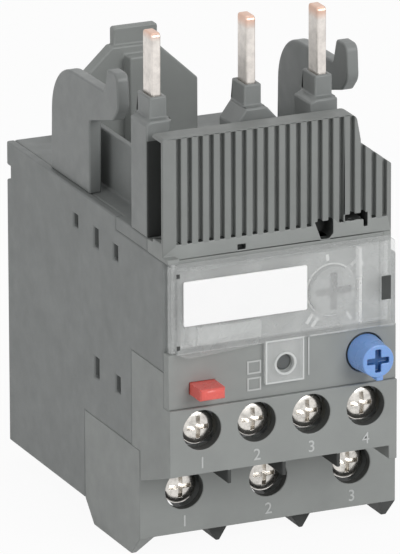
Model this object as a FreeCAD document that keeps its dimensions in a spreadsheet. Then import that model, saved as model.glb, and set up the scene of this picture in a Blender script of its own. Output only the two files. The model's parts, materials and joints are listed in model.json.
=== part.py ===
import FreeCAD, Part
import math
import os

import Sketcher

# Thermal overload relay, 45 mm wide: three heated bimetals push a pair of slide bars, which swing
# a compensation lever and throw the contact carrier over.
# Millimetres. X is to the right, -Y is the front, +Z is up. The origin is at the middle of the
# bounding box's floor. A name that ends in _front is a distance in front of the origin.

SIZES = {
    # outside
    "width": 45.0,
    "back": 35.0,
    "main_front": 18.5,
    "panel_front": 28.1,
    "plate_front": 30.0,
    "block_front": 30.5,
    "knob_front": 35.0,
    "button_front": 34.5,
    "top": 55.0,
    "base": 3.5,
    "rib_top": 72.9,
    "pin_top": 88.5,
    "module_inset": 5.4,
    "wall": 1.4,
    "floor_wall": 1.6,
    "roof_wall": 2.0,
    "play": 0.05,
    "seat_gap": 0.1,
    # seams of the casing
    "step_back": 3.5,
    "step_top": 18.5,
    "block_back": 15.5,
    "block_seam": 34.5,
    "block_top": 28.7,
    "block_bottom": 17.6,
    "fin_bottom": 15.3,
    "gusset_low": 13.4,
    "strip_bottom": 52.8,
    "roof_wing_back": 9.5,
    "roof_front": 22.0,
    "right_notch_back": 14.5,
    "right_notch_bottom": 45.7,
    "window_wide": 1.9,
    "window_tall": 2.2,
    "window_drop": 4.3,
    "window_first": 28.3,
    "window_pitch": 8.2,
    "foot_half": 12.0,
    "foot_back": 2.0,
    "foot_deep": 5.0,
    # phases, slide bars and partitions
    "phase_margin": 0.9,
    "partition_thick": 1.2,
    "partition_top": 42.0,
    "bar_thick": 2.0,
    "bar_tall": 4.0,
    "trip_bar_back": 10.0,
    "second_bar_back": 18.0,
    "bar_inset": 3.5,
    "bar_end_gap": 0.15,
    "finger_reach": 2.6,
    "finger_wide": 1.4,
    "finger_gap": 0.35,
    "trip_travel": 1.6,
    # bimetals and heaters
    "bimetal_thick": 1.0,
    "bimetal_wide": 5.0,
    "bimetal_mid": 13.0,
    "bimetal_top": 48.0,
    "coil_radius": 3.6,
    "coil_wire": 0.45,
    "coil_pitch": 2.2,
    "coil_low": 24.0,
    "coil_turns": 6.0,
    "strip_thick": 1.0,
    "output_high": 16.6,
    "bus_half": 0.9,
    "lead_wide": 0.9,
    "bus_high": 50.6,
    "bus_back": 21.2,
    # line pins, sleeves and hooks
    "pin_thick": 1.6,
    "pin_deep": 3.5,
    "pin_middle": 18.0,
    "pin_inset": 2.7,
    "pin_centre": -3.5,
    "pin_right": 8.8,
    "pin_tip": 0.7,
    "first_pin_drop": 0.8,
    "sleeve_wall": 0.7,
    "sleeve_top": 77.5,
    "post_top": 74.0,
    "post_front": 21.9,
    "post_back": 15.6,
    "post_right": 1.5,
    "post_wing": 1.8,
    "post_inner": 3.0,
    "post_left_wide": 3.7,
    "post_right_wide": 4.1,
    "post_shoulder": 0.5,
    "post_flare": 2.6,
    "hook_thick": 2.1,
    "hook_left_inset": 0.9,
    "hook_right_inset": 4.1,
    "guard_thick": 1.2,
    "guard_tall": 9.4,
    "guard_back": 9.6,
    "hook_back": 18.6,
    "hook_throat": 2.9,
    "hook_nose": 8.7,
    "hook_tip_long": 5.6,
    "hook_crown": 8.5,
    "hook_cheek": 3.9,
    "hook_chin": 2.2,
    "hook_neck": 6.5,
    "hook_rise": 18.8,
    "hook_tip": 22.9,
    "catch_front": 26.5,
    "catch_thick": 2.5,
    "catch_middle": -3.4,
    "catch_half": 11.3,
    "catch_shoulder": 9.3,
    "tab_half": 3.9,
    "tab_low": 16.2,
    "tab_high": 19.2,
    "tab_shift": 0.6,
    "catch_rib_left": 1.7,
    "catch_rib_right": 3.0,
    "catch_rib_drop": 1.4,
    "catch_rib_deep": 2.4,
    # ribbed cover
    "panel_thick": 4.0,
    "panel_skin": 0.7,
    "hollow_wide": 1.9,
    "hollow_reach": 8.5,
    "recess_deep": 3.5,
    "pentagon_inset": 10.1,
    "bent_slot_inset": 4.1,
    "bent_slot_wide": 4.1,
    "small_recess_left": -9.6,
    "small_recess_wide": 1.4,
    "panel_step": 11.9,
    "panel_step_high": 68.0,
    "panel_low_corner": 64.0,
    "groove_count": 20.0,
    "groove_wide": 0.8,
    "groove_deep": 1.1,
    "groove_margin": 0.2,
    "groove_first": 2.8,
    "groove_last": 1.15,
    # face plate and clear cover
    "plate_back": 27.2,
    "plate_recess": 28.3,
    "cover_bottom": 38.0,
    "cover_top": 52.3,
    "cover_front": 30.9,
    "cover_skin": 0.8,
    "cover_inset": 0.7,
    "hinge_inset": 1.2,
    "hinge_front": 29.2,
    "hinge_radius": 0.85,
    "hinge_stub": 0.45,
    "hinge_stub_long": 0.7,
    "label_inset": 2.2,
    "label_right": 1.05,
    "label_drop": 2.2,
    "label_tall": 7.4,
    "label_thick": 0.3,
    "tab_left": -6.1,
    "tab_right": 0.6,
    "tab_bottom": 31.1,
    # dial and adjusting lever
    "dial_inset": 10.6,
    "dial_below_middle": 0.65,
    "dial_radius": 4.0,
    "dial_front": 29.4,
    "dial_slot": 1.2,
    "dial_shaft": 1.4,
    "dial_back": 23.4,
    "cam_radius": 2.4,
    "cam_throw": 0.5,
    "lever_gap": 0.3,
    "lever_reach": 7.1,
    "lever_tall": 1.5,
    "lever_end": 2.0,
    "lever_boss": 1.5,
    "lever_tail": 4.0,
    "lever_pin": 0.8,
    # push buttons
    "press_travel": 1.5,
    "stop_inset": 5.85,
    "stop_high": 31.95,
    "stop_wide": 4.3,
    "stop_tall": 1.9,
    "test_across": -2.65,
    "test_high": 34.2,
    "test_radius": 1.3,
    "reset_inset": 5.4,
    "reset_high": 33.75,
    "reset_radius": 1.5,
    "knob_radius": 3.1,
    "knob_taper": 0.4,
    "knob_slot": 1.0,
    "flange_thick": 1.0,
    "flange_radius": 1.8,
    "tail_radius": 1.0,
    "tail_back": 24.15,
    "spring_radius": 1.6,
    "spring_wire": 0.15,
    "spring_flat": 0.12,
    "spring_turns": 3.0,
    "lug_front": 23.6,
    "lug_thick": 0.8,
    # auxiliary terminals and contacts
    "aux_inset": 5.6,
    "aux_last_inset": 5.5,
    "aux_high": 24.9,
    "aux_hole": 3.3,
    "aux_head": 2.95,
    "aux_head_front": 28.9,
    "aux_head_thick": 1.6,
    "aux_shank": 1.5,
    "aux_shank_back": 19.2,
    "aux_travel": 1.8,
    "clamp_half": 3.3,
    "clamp_thick": 0.9,
    "fin_thick": 0.6,
    "contact_front": 22.1,
    "contact_wide": 2.4,
    "contact_top": 41.0,
    "contact_gap": 1.95,
    "contact_finger": 0.8,
    "carrier_low": 37.4,
    "carrier_tall": 3.2,
    "carrier_front": 19.6,
    "carrier_deep": 3.0,
    "carrier_end": 1.9,
    "bridge_thick": 0.6,
    "bridge_half": 1.0,
    # main terminals
    "main_high": 10.8,
    "main_hole": 3.3,
    "main_head": 3.0,
    "main_head_front": 16.9,
    "main_head_thick": 2.2,
    "main_shank": 1.75,
    "tongue_front": 8.0,
    "tongue_half": 3.0,
    "cage_half": 4.2,
    "cage_wall": 0.9,
    "cage_back": 1.4,
    "cage_half_tall": 4.0,
    "cage_travel": 2.5,
    "slot_wide": 0.9,
    "slot_deep": 1.0,
    "tooth_half": 2.5,
    "tooth_front": 15.0,
    "tooth_back": 0.0,
    # compensation lever
    "comp_inset": 3.9,
    "comp_tall": 6.0,
    "comp_pivot": 2.0,
    "comp_thick": 0.8,
    "comp_front": 16.8,
    "comp_back": 9.8,
    "comp_boss": 1.4,
    "comp_pin": 0.7,
    "comp_pin_tall": 7.5,
}

FIRST_ROW = 1
document = FreeCAD.newDocument("ThermalOverloadRelay")
sheet = document.addObject("Spreadsheet::Sheet", "Sizes")
for row, (alias, millimetres) in enumerate(SIZES.items(), FIRST_ROW):
    sheet.set(f"A{row}", alias)
    sheet.set(f"B{row}", str(millimetres))
    sheet.setAlias(f"B{row}", alias)
document.recompute()


class Size:
    """A length that knows its number and the sheet expression that it comes from."""

    def __init__(self, text, number):
        self.text = text
        self.number = float(number)

    @staticmethod
    def of(value):
        return value if isinstance(value, Size) else Size(repr(float(value)), value)

    def __add__(self, other):
        other = Size.of(other)
        return Size(f"({self.text} + {other.text})", self.number + other.number)

    def __sub__(self, other):
        other = Size.of(other)
        return Size(f"({self.text} - {other.text})", self.number - other.number)

    def __mul__(self, other):
        other = Size.of(other)
        return Size(f"({self.text} * {other.text})", self.number * other.number)

    def __truediv__(self, other):
        other = Size.of(other)
        return Size(f"({self.text} / {other.text})", self.number / other.number)

    def __radd__(self, other):
        return Size.of(other) + self

    def __rsub__(self, other):
        return Size.of(other) - self

    def __rmul__(self, other):
        return Size.of(other) * self

    def __neg__(self):
        return Size(f"(0 - {self.text})", -self.number)

    def __float__(self):
        return self.number


class Sheet:
    """The driving dimensions, read as attributes: S.width is the cell named width."""

    def __getattr__(self, alias):
        return Size(f"Sizes.{alias}", sheet.get(alias))


S = Sheet()
PIECES = []
counter = {}


def fresh(stem):
    """A new object name that says what the object is for."""
    counter[stem] = counter.get(stem, 0) + 1
    return f"{stem}_{counter[stem]}"


def bind(thing, path, value):
    thing.setExpression(path, Size.of(value).text)


def place(thing, across, deep, high):
    for axis, value in zip("xyz", (across, deep, high)):
        bind(thing, f"Placement.Base.{axis}", value)


def box(left, right, front, back, low, high):
    """A block between two planes on each axis; front is the smaller Y."""
    block = document.addObject("Part::Box", fresh("block"))
    bind(block, "Length", right - left)
    bind(block, "Width", back - front)
    bind(block, "Height", high - low)
    place(block, left, front, low)
    return block


def round_bar(across, high, front, back, radius):
    """A cylinder that lies along Y."""
    bar = document.addObject("Part::Cylinder", fresh("round_bar"))
    bind(bar, "Radius", radius)
    bind(bar, "Height", back - front)
    bar.Placement.Rotation = FreeCAD.Rotation(FreeCAD.Vector(1, 0, 0), -90)
    place(bar, across, front, high)
    return bar


def post(across, deep, low, high, radius):
    """A cylinder that stands along Z."""
    bar = document.addObject("Part::Cylinder", fresh("post"))
    bind(bar, "Radius", radius)
    bind(bar, "Height", high - low)
    place(bar, across, deep, low)
    return bar


def fuse(parts):
    whole = document.addObject("Part::MultiFuse", fresh("joined"))
    whole.Shapes = parts
    whole.Refine = True
    return whole


def cut(base, tools):
    rest = document.addObject("Part::Cut", fresh("cut"))
    rest.Base = base
    rest.Tool = tools[0] if len(tools) == 1 else fuse(tools)
    rest.Refine = True
    return rest


def common(first, second):
    shared = document.addObject("Part::MultiCommon", fresh("shared"))
    shared.Shapes = [first, second]
    return shared


def keep(label, thing):
    """Makes an object one of the relay's pieces: its label names the piece."""
    thing.Label = label
    PIECES.append(thing)
    return thing


# ---- sketched bodies -----------------------------------------------------------------------

PLANES = {"XY": ("XY_Plane", 1), "XZ": ("XZ_Plane", -1), "YZ": ("YZ_Plane", 1)}


def corner_arc(points, index):
    """Where a rounded corner's arc starts and ends, its centre, and whether it turns left."""
    across, up, radius = points[index]
    here = FreeCAD.Vector(across, up, 0)
    count = len(points)
    behind = FreeCAD.Vector(*points[index - 1][:2], 0) - here
    ahead = FreeCAD.Vector(*points[(index + 1) % count][:2], 0) - here
    behind.normalize()
    ahead.normalize()
    half = behind.getAngle(ahead) / 2
    reach = radius / math.tan(half)
    middle = here + (behind + ahead).normalize() * (radius / math.sin(half))
    turns_left = behind.cross(ahead).z < 0
    return here + behind * reach, here + ahead * reach, middle, turns_left


def draw_outline(sketch, corners):
    """A closed outline. A corner is (across, up) or (across, up, radius of its arc)."""
    rows = [[Size.of(value) for value in corner] for corner in corners]
    points = [[float(row[0]), float(row[1]), float(row[2]) if len(row) > 2 else 0.0] for row in rows]
    count = len(points)
    arcs = {index: corner_arc(points, index) for index in range(count) if points[index][2]}
    arrive = [arcs[i][0] if i in arcs else FreeCAD.Vector(*points[i][:2], 0) for i in range(count)]
    leave = [arcs[i][1] if i in arcs else FreeCAD.Vector(*points[i][:2], 0) for i in range(count)]
    first = sketch.GeometryCount
    lines = [Part.LineSegment(leave[i], arrive[(i + 1) % count]) for i in range(count)]
    sketch.addGeometry(lines, False)
    rules = []
    bound = []

    def rule(value, *words):
        rules.append(Sketcher.Constraint(*words, float(value)))
        bound.append((sketch.ConstraintCount + len(rules) - 1, value))

    for index, row in enumerate(rows):
        before = first + (index - 1) % count
        after = first + index
        if index not in arcs:
            rules.append(Sketcher.Constraint("Coincident", before, 2, after, 1))
            rule(row[0], "DistanceX", -1, 1, after, 1)
            rule(row[1], "DistanceY", -1, 1, after, 1)
            continue
        start, end, middle, turns_left = arcs[index]
        if not turns_left:
            start, end = end, start
        begin_angle = math.atan2(start.y - middle.y, start.x - middle.x)
        end_angle = math.atan2(end.y - middle.y, end.x - middle.x)
        if end_angle < begin_angle:
            end_angle += 2 * math.pi
        circle = Part.Circle(middle, FreeCAD.Vector(0, 0, 1), points[index][2])
        arc = sketch.addGeometry(Part.ArcOfCircle(circle, begin_angle, end_angle), False)
        corner = sketch.addGeometry(Part.Point(FreeCAD.Vector(*points[index][:2], 0)), True)
        near, far = (1, 2) if turns_left else (2, 1)
        rules.append(Sketcher.Constraint("Tangent", before, 2, arc, near))
        rules.append(Sketcher.Constraint("Tangent", arc, far, after, 1))
        rules.append(Sketcher.Constraint("PointOnObject", corner, 1, before))
        rules.append(Sketcher.Constraint("PointOnObject", corner, 1, after))
        rule(row[2], "Radius", arc)
        rule(row[0], "DistanceX", -1, 1, corner, 1)
        rule(row[1], "DistanceY", -1, 1, corner, 1)
    sketch.addConstraint(rules)
    for number, value in bound:
        bind(sketch, f"Constraints[{number}]", value)


def draw_circle(sketch, across, up, radius):
    values = [Size.of(value) for value in (across, up, radius)]
    middle = FreeCAD.Vector(float(values[0]), float(values[1]), 0)
    ring = sketch.addGeometry(Part.Circle(middle, FreeCAD.Vector(0, 0, 1), float(values[2])), False)
    number = sketch.ConstraintCount
    sketch.addConstraint([
        Sketcher.Constraint("DistanceX", -1, 1, ring, 3, float(values[0])),
        Sketcher.Constraint("DistanceY", -1, 1, ring, 3, float(values[1])),
        Sketcher.Constraint("Radius", ring, float(values[2])),
    ])
    for offset, value in enumerate(values):
        bind(sketch, f"Constraints[{number + offset}]", value)


def new_body(label):
    body = document.addObject("PartDesign::Body", fresh("body"))
    keep(label, body)
    return body


def feature(body, kind, plane, low, high, outlines=(), circles=()):
    """A Pad or Pocket between two levels on the axis that crosses the sketch's plane."""
    role, sign = PLANES[plane]
    sketch = body.newObject("Sketcher::SketchObject", fresh("sketch"))
    origin_plane = [item for item in body.Origin.OriginFeatures if item.Role == role][0]
    sketch.AttachmentSupport = [(origin_plane, "")]
    sketch.MapMode = "FlatFace"
    start = low if sign > 0 else -Size.of(high)
    bind(sketch, "AttachmentOffset.Base.z", start)
    for outline in outlines:
        draw_outline(sketch, outline)
    for circle in circles:
        draw_circle(sketch, *circle)
    shape = body.newObject(f"PartDesign::{kind}", fresh(kind.lower()))
    shape.Profile = sketch
    bind(shape, "Length", Size.of(high) - low)
    if kind == "Pocket":
        shape.Reversed = True
    return shape


def rectangle(left, right, low, high):
    return [(left, low), (right, low), (right, high), (left, high)]


# ---- places that several pieces share ------------------------------------------------------

half_width = S.width / 2
inner = half_width - S.wall
module_right = half_width - S.module_inset
module_inner = module_right - S.wall
phase_pitch = (S.width - S.phase_margin) / 3
phases = [-phase_pitch, Size.of(0), phase_pitch]
partitions = [-phase_pitch / 2, phase_pitch / 2]
pins = [S.pin_inset - half_width, S.pin_centre, S.pin_right]
pin_tops = [S.pin_top - S.first_pin_drop, S.pin_top, S.pin_top]
aux_first = S.aux_inset - half_width
aux_pitch = (module_right - S.aux_last_inset - aux_first) / 3
aux_places = [aux_first + aux_pitch * number for number in range(4)]
fins = [aux_first + aux_pitch * (number + 0.5) for number in range(3)]
hook_left = half_width - S.hook_left_inset
hook_right = half_width - S.hook_right_inset
roof = S.top - S.roof_wall
strip_top = S.output_high
strip_low = S.output_high - S.strip_thick
hinge_across = S.hinge_inset - half_width
contact_back = S.strip_thick - S.contact_front
knob_back = 2 * S.seat_gap - S.plate_front
lever_front = S.seat_gap + 1.0 - S.plate_back
lever_back = -S.dial_back - 0.8
cover_right = module_right - S.cover_inset
dial_across = module_right - S.dial_inset
dial_high = (S.cover_bottom + S.cover_top) / 2 - S.dial_below_middle
stop_across = S.stop_inset - half_width
reset_across = module_right - S.reset_inset
lever_pivot_across = dial_across + S.lever_reach
lever_low = dial_high + S.cam_radius + S.lever_gap
lever_pivot_high = lever_low + S.lever_tall - S.seat_gap
bridge_front = -S.carrier_front - S.bridge_thick
tail_back = bridge_front - S.seat_gap
shelf_top = S.block_top + S.wall
cage_front = S.main_head_front - S.main_head_thick - S.cage_travel - 2 * S.seat_gap
comp_across = half_width - S.comp_inset
bar_right = comp_across - S.comp_thick / 2 - S.bar_end_gap


# ---- casing --------------------------------------------------------------------------------

def side_windows(shell, left, right, places):
    """Snap windows through a side shell: (middle on Y, high, height)."""
    half = S.window_wide / 2
    for middle, high, tall in places:
        outline = rectangle(middle - half, middle + half, high - tall, high)
        feature(shell, "Pocket", "YZ", left - 0.5, right + 0.5, [outline])


def left_side_shell():
    shell = new_body("left_side_shell")
    outline = [
        (S.back, S.base), (S.back, S.top), (-S.roof_wing_back, S.top),
        (-S.roof_wing_back, S.strip_bottom), (-S.panel_front, S.strip_bottom),
        (-S.panel_front, S.block_seam), (-S.block_back, S.block_seam),
        (-S.block_back, S.step_top), (S.step_back, S.step_top), (S.step_back, S.base),
    ]
    feature(shell, "Pad", "YZ", -half_width, -inner, [outline])
    upper = S.top - S.window_drop
    lower = S.block_seam - S.window_drop - 1.3
    tall = S.window_tall
    first = S.back - S.window_first
    second = first - S.window_pitch
    third = second - S.window_pitch + 0.4
    places = [
        (first, upper, tall), (second, upper, 1.5 * tall), (third, upper - 0.5, 1.2 * tall),
        (second, lower, 1.6 * tall), (third - 0.7, lower - 0.5, 1.3 * tall),
        (S.back - 0.5, upper + 0.3, 1.1 * tall),
    ]
    side_windows(shell, -half_width, -inner, places)


def right_side_shell():
    shell = new_body("right_side_shell")
    outline = [
        (S.back, S.base), (S.back, S.top), (-S.right_notch_back, S.top),
        (-S.right_notch_back, S.right_notch_bottom), (-S.main_front, S.right_notch_bottom),
        (-S.main_front, S.step_top), (S.step_back, S.step_top), (S.step_back, S.base),
    ]
    feature(shell, "Pad", "YZ", inner, half_width, [outline])
    upper = S.top - S.window_drop
    tall = S.window_tall
    first = S.back - S.window_first
    second = first - S.window_pitch
    places = [(first, upper, tall), (second, upper, 1.5 * tall), (first, S.step_top + 7.5, 1.6 * tall)]
    side_windows(shell, inner, half_width, places)


def slide_guides():
    """Lips on the partitions and ribs under the roof that keep the slide bars in line."""
    lips = []
    for middle in partitions:
        left = middle - S.partition_thick / 2
        right = middle + S.partition_thick / 2
        for back in (S.trip_bar_back, S.second_bar_back):
            front = back - S.bar_thick
            low = S.partition_top
            lips.append(box(left, right, front - 1.0, front - S.seat_gap, low - 1.0, low + 2.5))
            lips.append(box(left, right, back + S.seat_gap, back + 1.0, low - 1.0, low + 2.5))
        rib_low = S.partition_top + S.bar_tall + 3 * S.play
        front = S.trip_bar_back - S.bar_thick - 1.0
        lips.append(box(left, right, front, S.second_bar_back + 1.0, rib_low, S.top - 1.0))
    return lips


def main_housing():
    back_inside = S.back - S.floor_wall
    front_wall = -S.block_back
    parts = [
        # roof, its left wing and the strip in front of the main front plane
        box(-inner, inner, -S.main_front, S.back, roof, S.top),
        box(-half_width, module_right, -S.roof_front, -S.main_front, S.strip_bottom, S.top),
        box(-half_width, -inner + 1.0, -S.main_front, -S.roof_wing_back, S.strip_bottom, S.top),
        # back, floor, and the step above the main terminals
        box(-inner, inner, back_inside, S.back, S.base, S.top - 1.0),
        box(-inner, inner, S.step_back, S.back, S.base, S.base + S.floor_wall),
        box(-inner, inner, S.step_back, S.step_back + S.floor_wall, S.base, S.step_top + S.floor_wall),
        box(-inner, inner, front_wall, S.step_back, S.step_top, S.step_top + S.floor_wall),
        box(-inner, inner, front_wall, front_wall + S.floor_wall, S.step_top, shelf_top),
        # front right corner beside the narrower front module
        box(module_right + S.seat_gap, inner, -S.main_front, -S.main_front + S.wall,
            S.step_top, S.top - 1.0),
        box(module_right + S.seat_gap, module_right + S.seat_gap + S.wall,
            -S.main_front, front_wall + S.floor_wall, S.step_top, shelf_top),
        # side wall behind the right shell's notch
        box(inner - S.wall, inner, -S.main_front, -S.right_notch_back + 1.0,
            S.right_notch_bottom - 1.0, S.top - 1.0),
        # pivot post of the compensation lever
        post(comp_across, -S.comp_pivot, S.step_top + 1.0, S.partition_top, S.comp_boss),
        post(comp_across, -S.comp_pivot, S.partition_top - 1.0, S.partition_top + S.comp_pin_tall,
             S.comp_pin),
    ]
    for middle in partitions:
        left = middle - S.partition_thick / 2
        right = middle + S.partition_thick / 2
        parts.append(box(left, right, front_wall + 1.0, back_inside + 1.0,
                         S.step_top + 1.0, S.partition_top))
        parts.append(box(left, right, S.step_back + 1.0, back_inside + 1.0,
                         S.base + 1.0, S.step_top + 2.0))
    # foot bar under the back, and the guard wall beside the left hook
    foot_back = S.back - S.foot_back
    parts.append(box(-S.foot_half, S.foot_half, foot_back - S.foot_deep, foot_back, Size.of(0),
                     S.base + 1.0))
    guard = S.hook_thick - hook_left + 1.9
    parts.append(box(guard, guard + S.guard_thick, -S.post_back + S.seat_gap, S.guard_back,
                     S.top - 1.0, S.top + S.guard_tall))
    windows = []
    for middle in phases:
        windows.append(box(middle - S.tongue_half - S.seat_gap, middle + S.tongue_half + S.seat_gap,
                           S.step_back - 1.0, S.step_back + S.floor_wall + 1.0,
                           strip_low - S.seat_gap, strip_top + S.seat_gap))
    for middle in pins:
        windows.append(box(middle - S.pin_thick / 2 - S.play, middle + S.pin_thick / 2 + S.play,
                           -S.pin_middle - S.pin_deep / 2 - S.play,
                           -S.pin_middle + S.pin_deep / 2 + S.play, S.strip_bottom - 1.0, S.top + 1.0))
    keep("main_housing", cut(fuse(parts + slide_guides()), windows))


def front_cover():
    cover = new_body("front_cover")
    front = -S.panel_front
    panel = [
        (-half_width, S.top - 0.2), (module_right, S.top - 0.2),
        (module_right, S.panel_low_corner), (S.panel_step, S.panel_step_high, 0.6),
        (S.panel_step - 0.9, S.rib_top, 1.4), (-half_width, S.rib_top, 0.5),
    ]
    feature(cover, "Pad", "XZ", front, front + S.panel_thick, [panel])
    roof_outline = rectangle(-half_width, module_right, S.strip_bottom, S.top)
    feature(cover, "Pad", "XZ", front, -S.roof_front, [roof_outline])
    inside = rectangle(-inner, module_inner, S.strip_bottom, roof)
    feature(cover, "Pocket", "XZ", front + S.wall, -S.roof_front, [inside])
    # the panel's left end is open behind a thin skin
    back = front + S.panel_thick + 1.0
    end = S.hollow_wide - half_width
    for skin_back, right in ((front + S.panel_skin, end),
                             (front + S.groove_deep + S.panel_skin, end + S.hollow_reach)):
        hollow = rectangle(skin_back, back, S.top + 0.6, S.rib_top - S.panel_skin)
        feature(cover, "Pocket", "YZ", -half_width - 1.0, right, [hollow])
    ear = rectangle(-half_width, hinge_across + S.hinge_radius, -S.plate_front, front)
    feature(cover, "Pad", "XY", S.strip_bottom, S.strip_bottom + S.cover_skin, [ear])
    stub_hole = (hinge_across, -S.hinge_front, S.hinge_stub + S.play)
    feature(cover, "Pocket", "XY", S.strip_bottom - 1.0, S.cover_top + S.hinge_stub_long + S.seat_gap,
            circles=[stub_hole])
    count = int(float(S.groove_count))
    first = S.groove_first - half_width
    pitch = (module_right - S.groove_last - first) / (S.groove_count - 1)
    grooves = []
    for number in range(count):
        middle = first + pitch * number
        grooves.append(rectangle(middle - S.groove_wide / 2, middle + S.groove_wide / 2,
                                 S.top + 0.3, S.rib_top - S.groove_margin))
    feature(cover, "Pocket", "XZ", front - 1.0, front + S.groove_deep, grooves)
    pentagon_right = module_right - S.pentagon_inset
    pentagon = [(pentagon_right - 3.2, S.top + 0.9), (pentagon_right - 2.1, S.top - 2.1),
                (pentagon_right - 0.7, S.top - 2.1), (pentagon_right, S.top - 1.3),
                (pentagon_right, S.top + 0.9)]
    slot_right = module_right - S.bent_slot_inset
    slot_left = slot_right - S.bent_slot_wide
    slot = [(slot_left, S.top + 0.4), (slot_right - 0.7, S.top + 0.4),
            (slot_right - 0.7, S.top - 0.9), (slot_right, S.top - 0.9),
            (slot_right, S.top + 1.4), (slot_left, S.top + 1.4)]
    small = rectangle(S.small_recess_left, S.small_recess_left + S.small_recess_wide,
                      S.top - 1.9, S.top - 1.0)
    for outline, deep in ((pentagon, S.recess_deep), (slot, S.recess_deep), (small, S.wall - 0.1)):
        feature(cover, "Pocket", "XZ", front - 1.0, front + deep, [outline])


def face_plate():
    plate = new_body("face_plate")
    recess = -S.plate_recess
    ledge = S.cover_bottom - S.seat_gap
    whole = rectangle(-inner, module_inner, S.block_top, S.strip_bottom)
    feature(plate, "Pad", "XZ", recess, -S.plate_back, [whole])
    lower = rectangle(-half_width, module_right, S.block_top, ledge)
    feature(plate, "Pad", "XZ", -S.plate_front, -S.panel_front, [lower])
    cheek = rectangle(-S.panel_front, -S.main_front, S.block_seam, S.strip_bottom)
    feature(plate, "Pad", "YZ", module_inner, module_right, [cheek])
    dial = (dial_across, dial_high, S.dial_radius + S.play)
    test = (S.test_across, S.test_high, S.test_radius + S.play)
    reset = (reset_across, S.reset_high, S.reset_radius + S.play)
    feature(plate, "Pocket", "XZ", -S.plate_front - 1.0, -S.plate_back + 1.0,
            [rectangle(stop_across - S.stop_wide / 2 - S.play, stop_across + S.stop_wide / 2 + S.play,
                       S.stop_high - S.stop_tall / 2 - S.play, S.stop_high + S.stop_tall / 2 + S.play)],
            [dial, test, reset])
    knob_seat = (reset_across, S.reset_high, S.knob_radius + 4 * S.play)
    feature(plate, "Pocket", "XZ", -S.plate_front - 1.0, knob_back + S.press_travel + S.seat_gap,
            circles=[knob_seat])
    lever_pin = (lever_pivot_across, lever_pivot_high, S.lever_pin)
    feature(plate, "Pad", "XZ", -S.plate_back - 0.5, lever_back - 0.7, circles=[lever_pin])
    stub_hole = (hinge_across, -S.hinge_front, S.hinge_stub + S.play)
    feature(plate, "Pocket", "XY", S.cover_bottom - S.hinge_stub_long - S.seat_gap, ledge + 1.0,
            circles=[stub_hole])


def aux_terminal_block():
    front = -S.block_front
    back = -S.block_back
    side_front = -S.panel_front
    walls = [
        # front wall, shelf over the terminals, side walls and fins
        box(-half_width, module_right, front, front + 2.0, S.block_bottom, S.block_top),
        box(-half_width, module_right, front, back, S.block_top - S.wall, S.block_top),
        box(-inner + 0.1, module_inner, -S.plate_back + S.seat_gap, back,
            S.block_top - 0.5, shelf_top),
        box(module_inner, module_right, front, back, S.fin_bottom, S.block_top),
        box(module_inner, module_right, side_front, back, S.block_top - 1.0, S.block_seam),
    ]
    side = document.addObject("PartDesign::Body", fresh("left_wall"))
    outline = [(front, S.block_bottom), (-S.main_front, S.gusset_low), (back, S.gusset_low),
               (back, S.block_seam), (side_front, S.block_seam), (side_front, S.block_top),
               (front, S.block_top)]
    feature(side, "Pad", "YZ", -half_width, -inner, [outline])
    walls.append(side)
    for middle in fins:
        walls.append(box(middle - S.fin_thick / 2, middle + S.fin_thick / 2, front, back,
                         S.fin_bottom, S.block_top - 0.5))
    # the main terminal block stands below the rear part of the fins
    tools = [box(-half_width - 1.0, module_right + 1.0, -S.main_front - 0.2, back + 1.0,
                 S.gusset_low - 1.0, S.step_top)]
    walls_back = box(-inner, module_inner, back - S.wall, back, S.step_top, S.block_top - 0.5)
    walls.append(walls_back)
    for across, high in ((stop_across, S.stop_high), (S.test_across, S.test_high),
                         (reset_across, S.reset_high)):
        reach = S.flange_radius + 0.3
        walls.append(box(across - reach, across + reach, -S.lug_front, -S.lug_front + S.lug_thick,
                         shelf_top - 0.5, high + reach))
        tools.append(round_bar(across, high, -S.lug_front - 1.0, -S.lug_front + S.lug_thick + 1.0,
                               S.tail_radius + S.play))
    for middle in aux_places:
        head_back = -S.aux_head_front + S.aux_head_thick + S.aux_travel + 2 * S.seat_gap
        tools.append(round_bar(middle, S.aux_high, front - 1.0, head_back, S.aux_hole))
        tools.append(box(middle - S.contact_wide / 2 - S.play, middle + S.contact_wide / 2 + S.play,
                         -S.contact_front - S.play, contact_back + S.play,
                         S.block_top - S.wall - 0.1, shelf_top + 1.0))
    keep("aux_terminal_block", cut(fuse(walls), tools))


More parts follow.
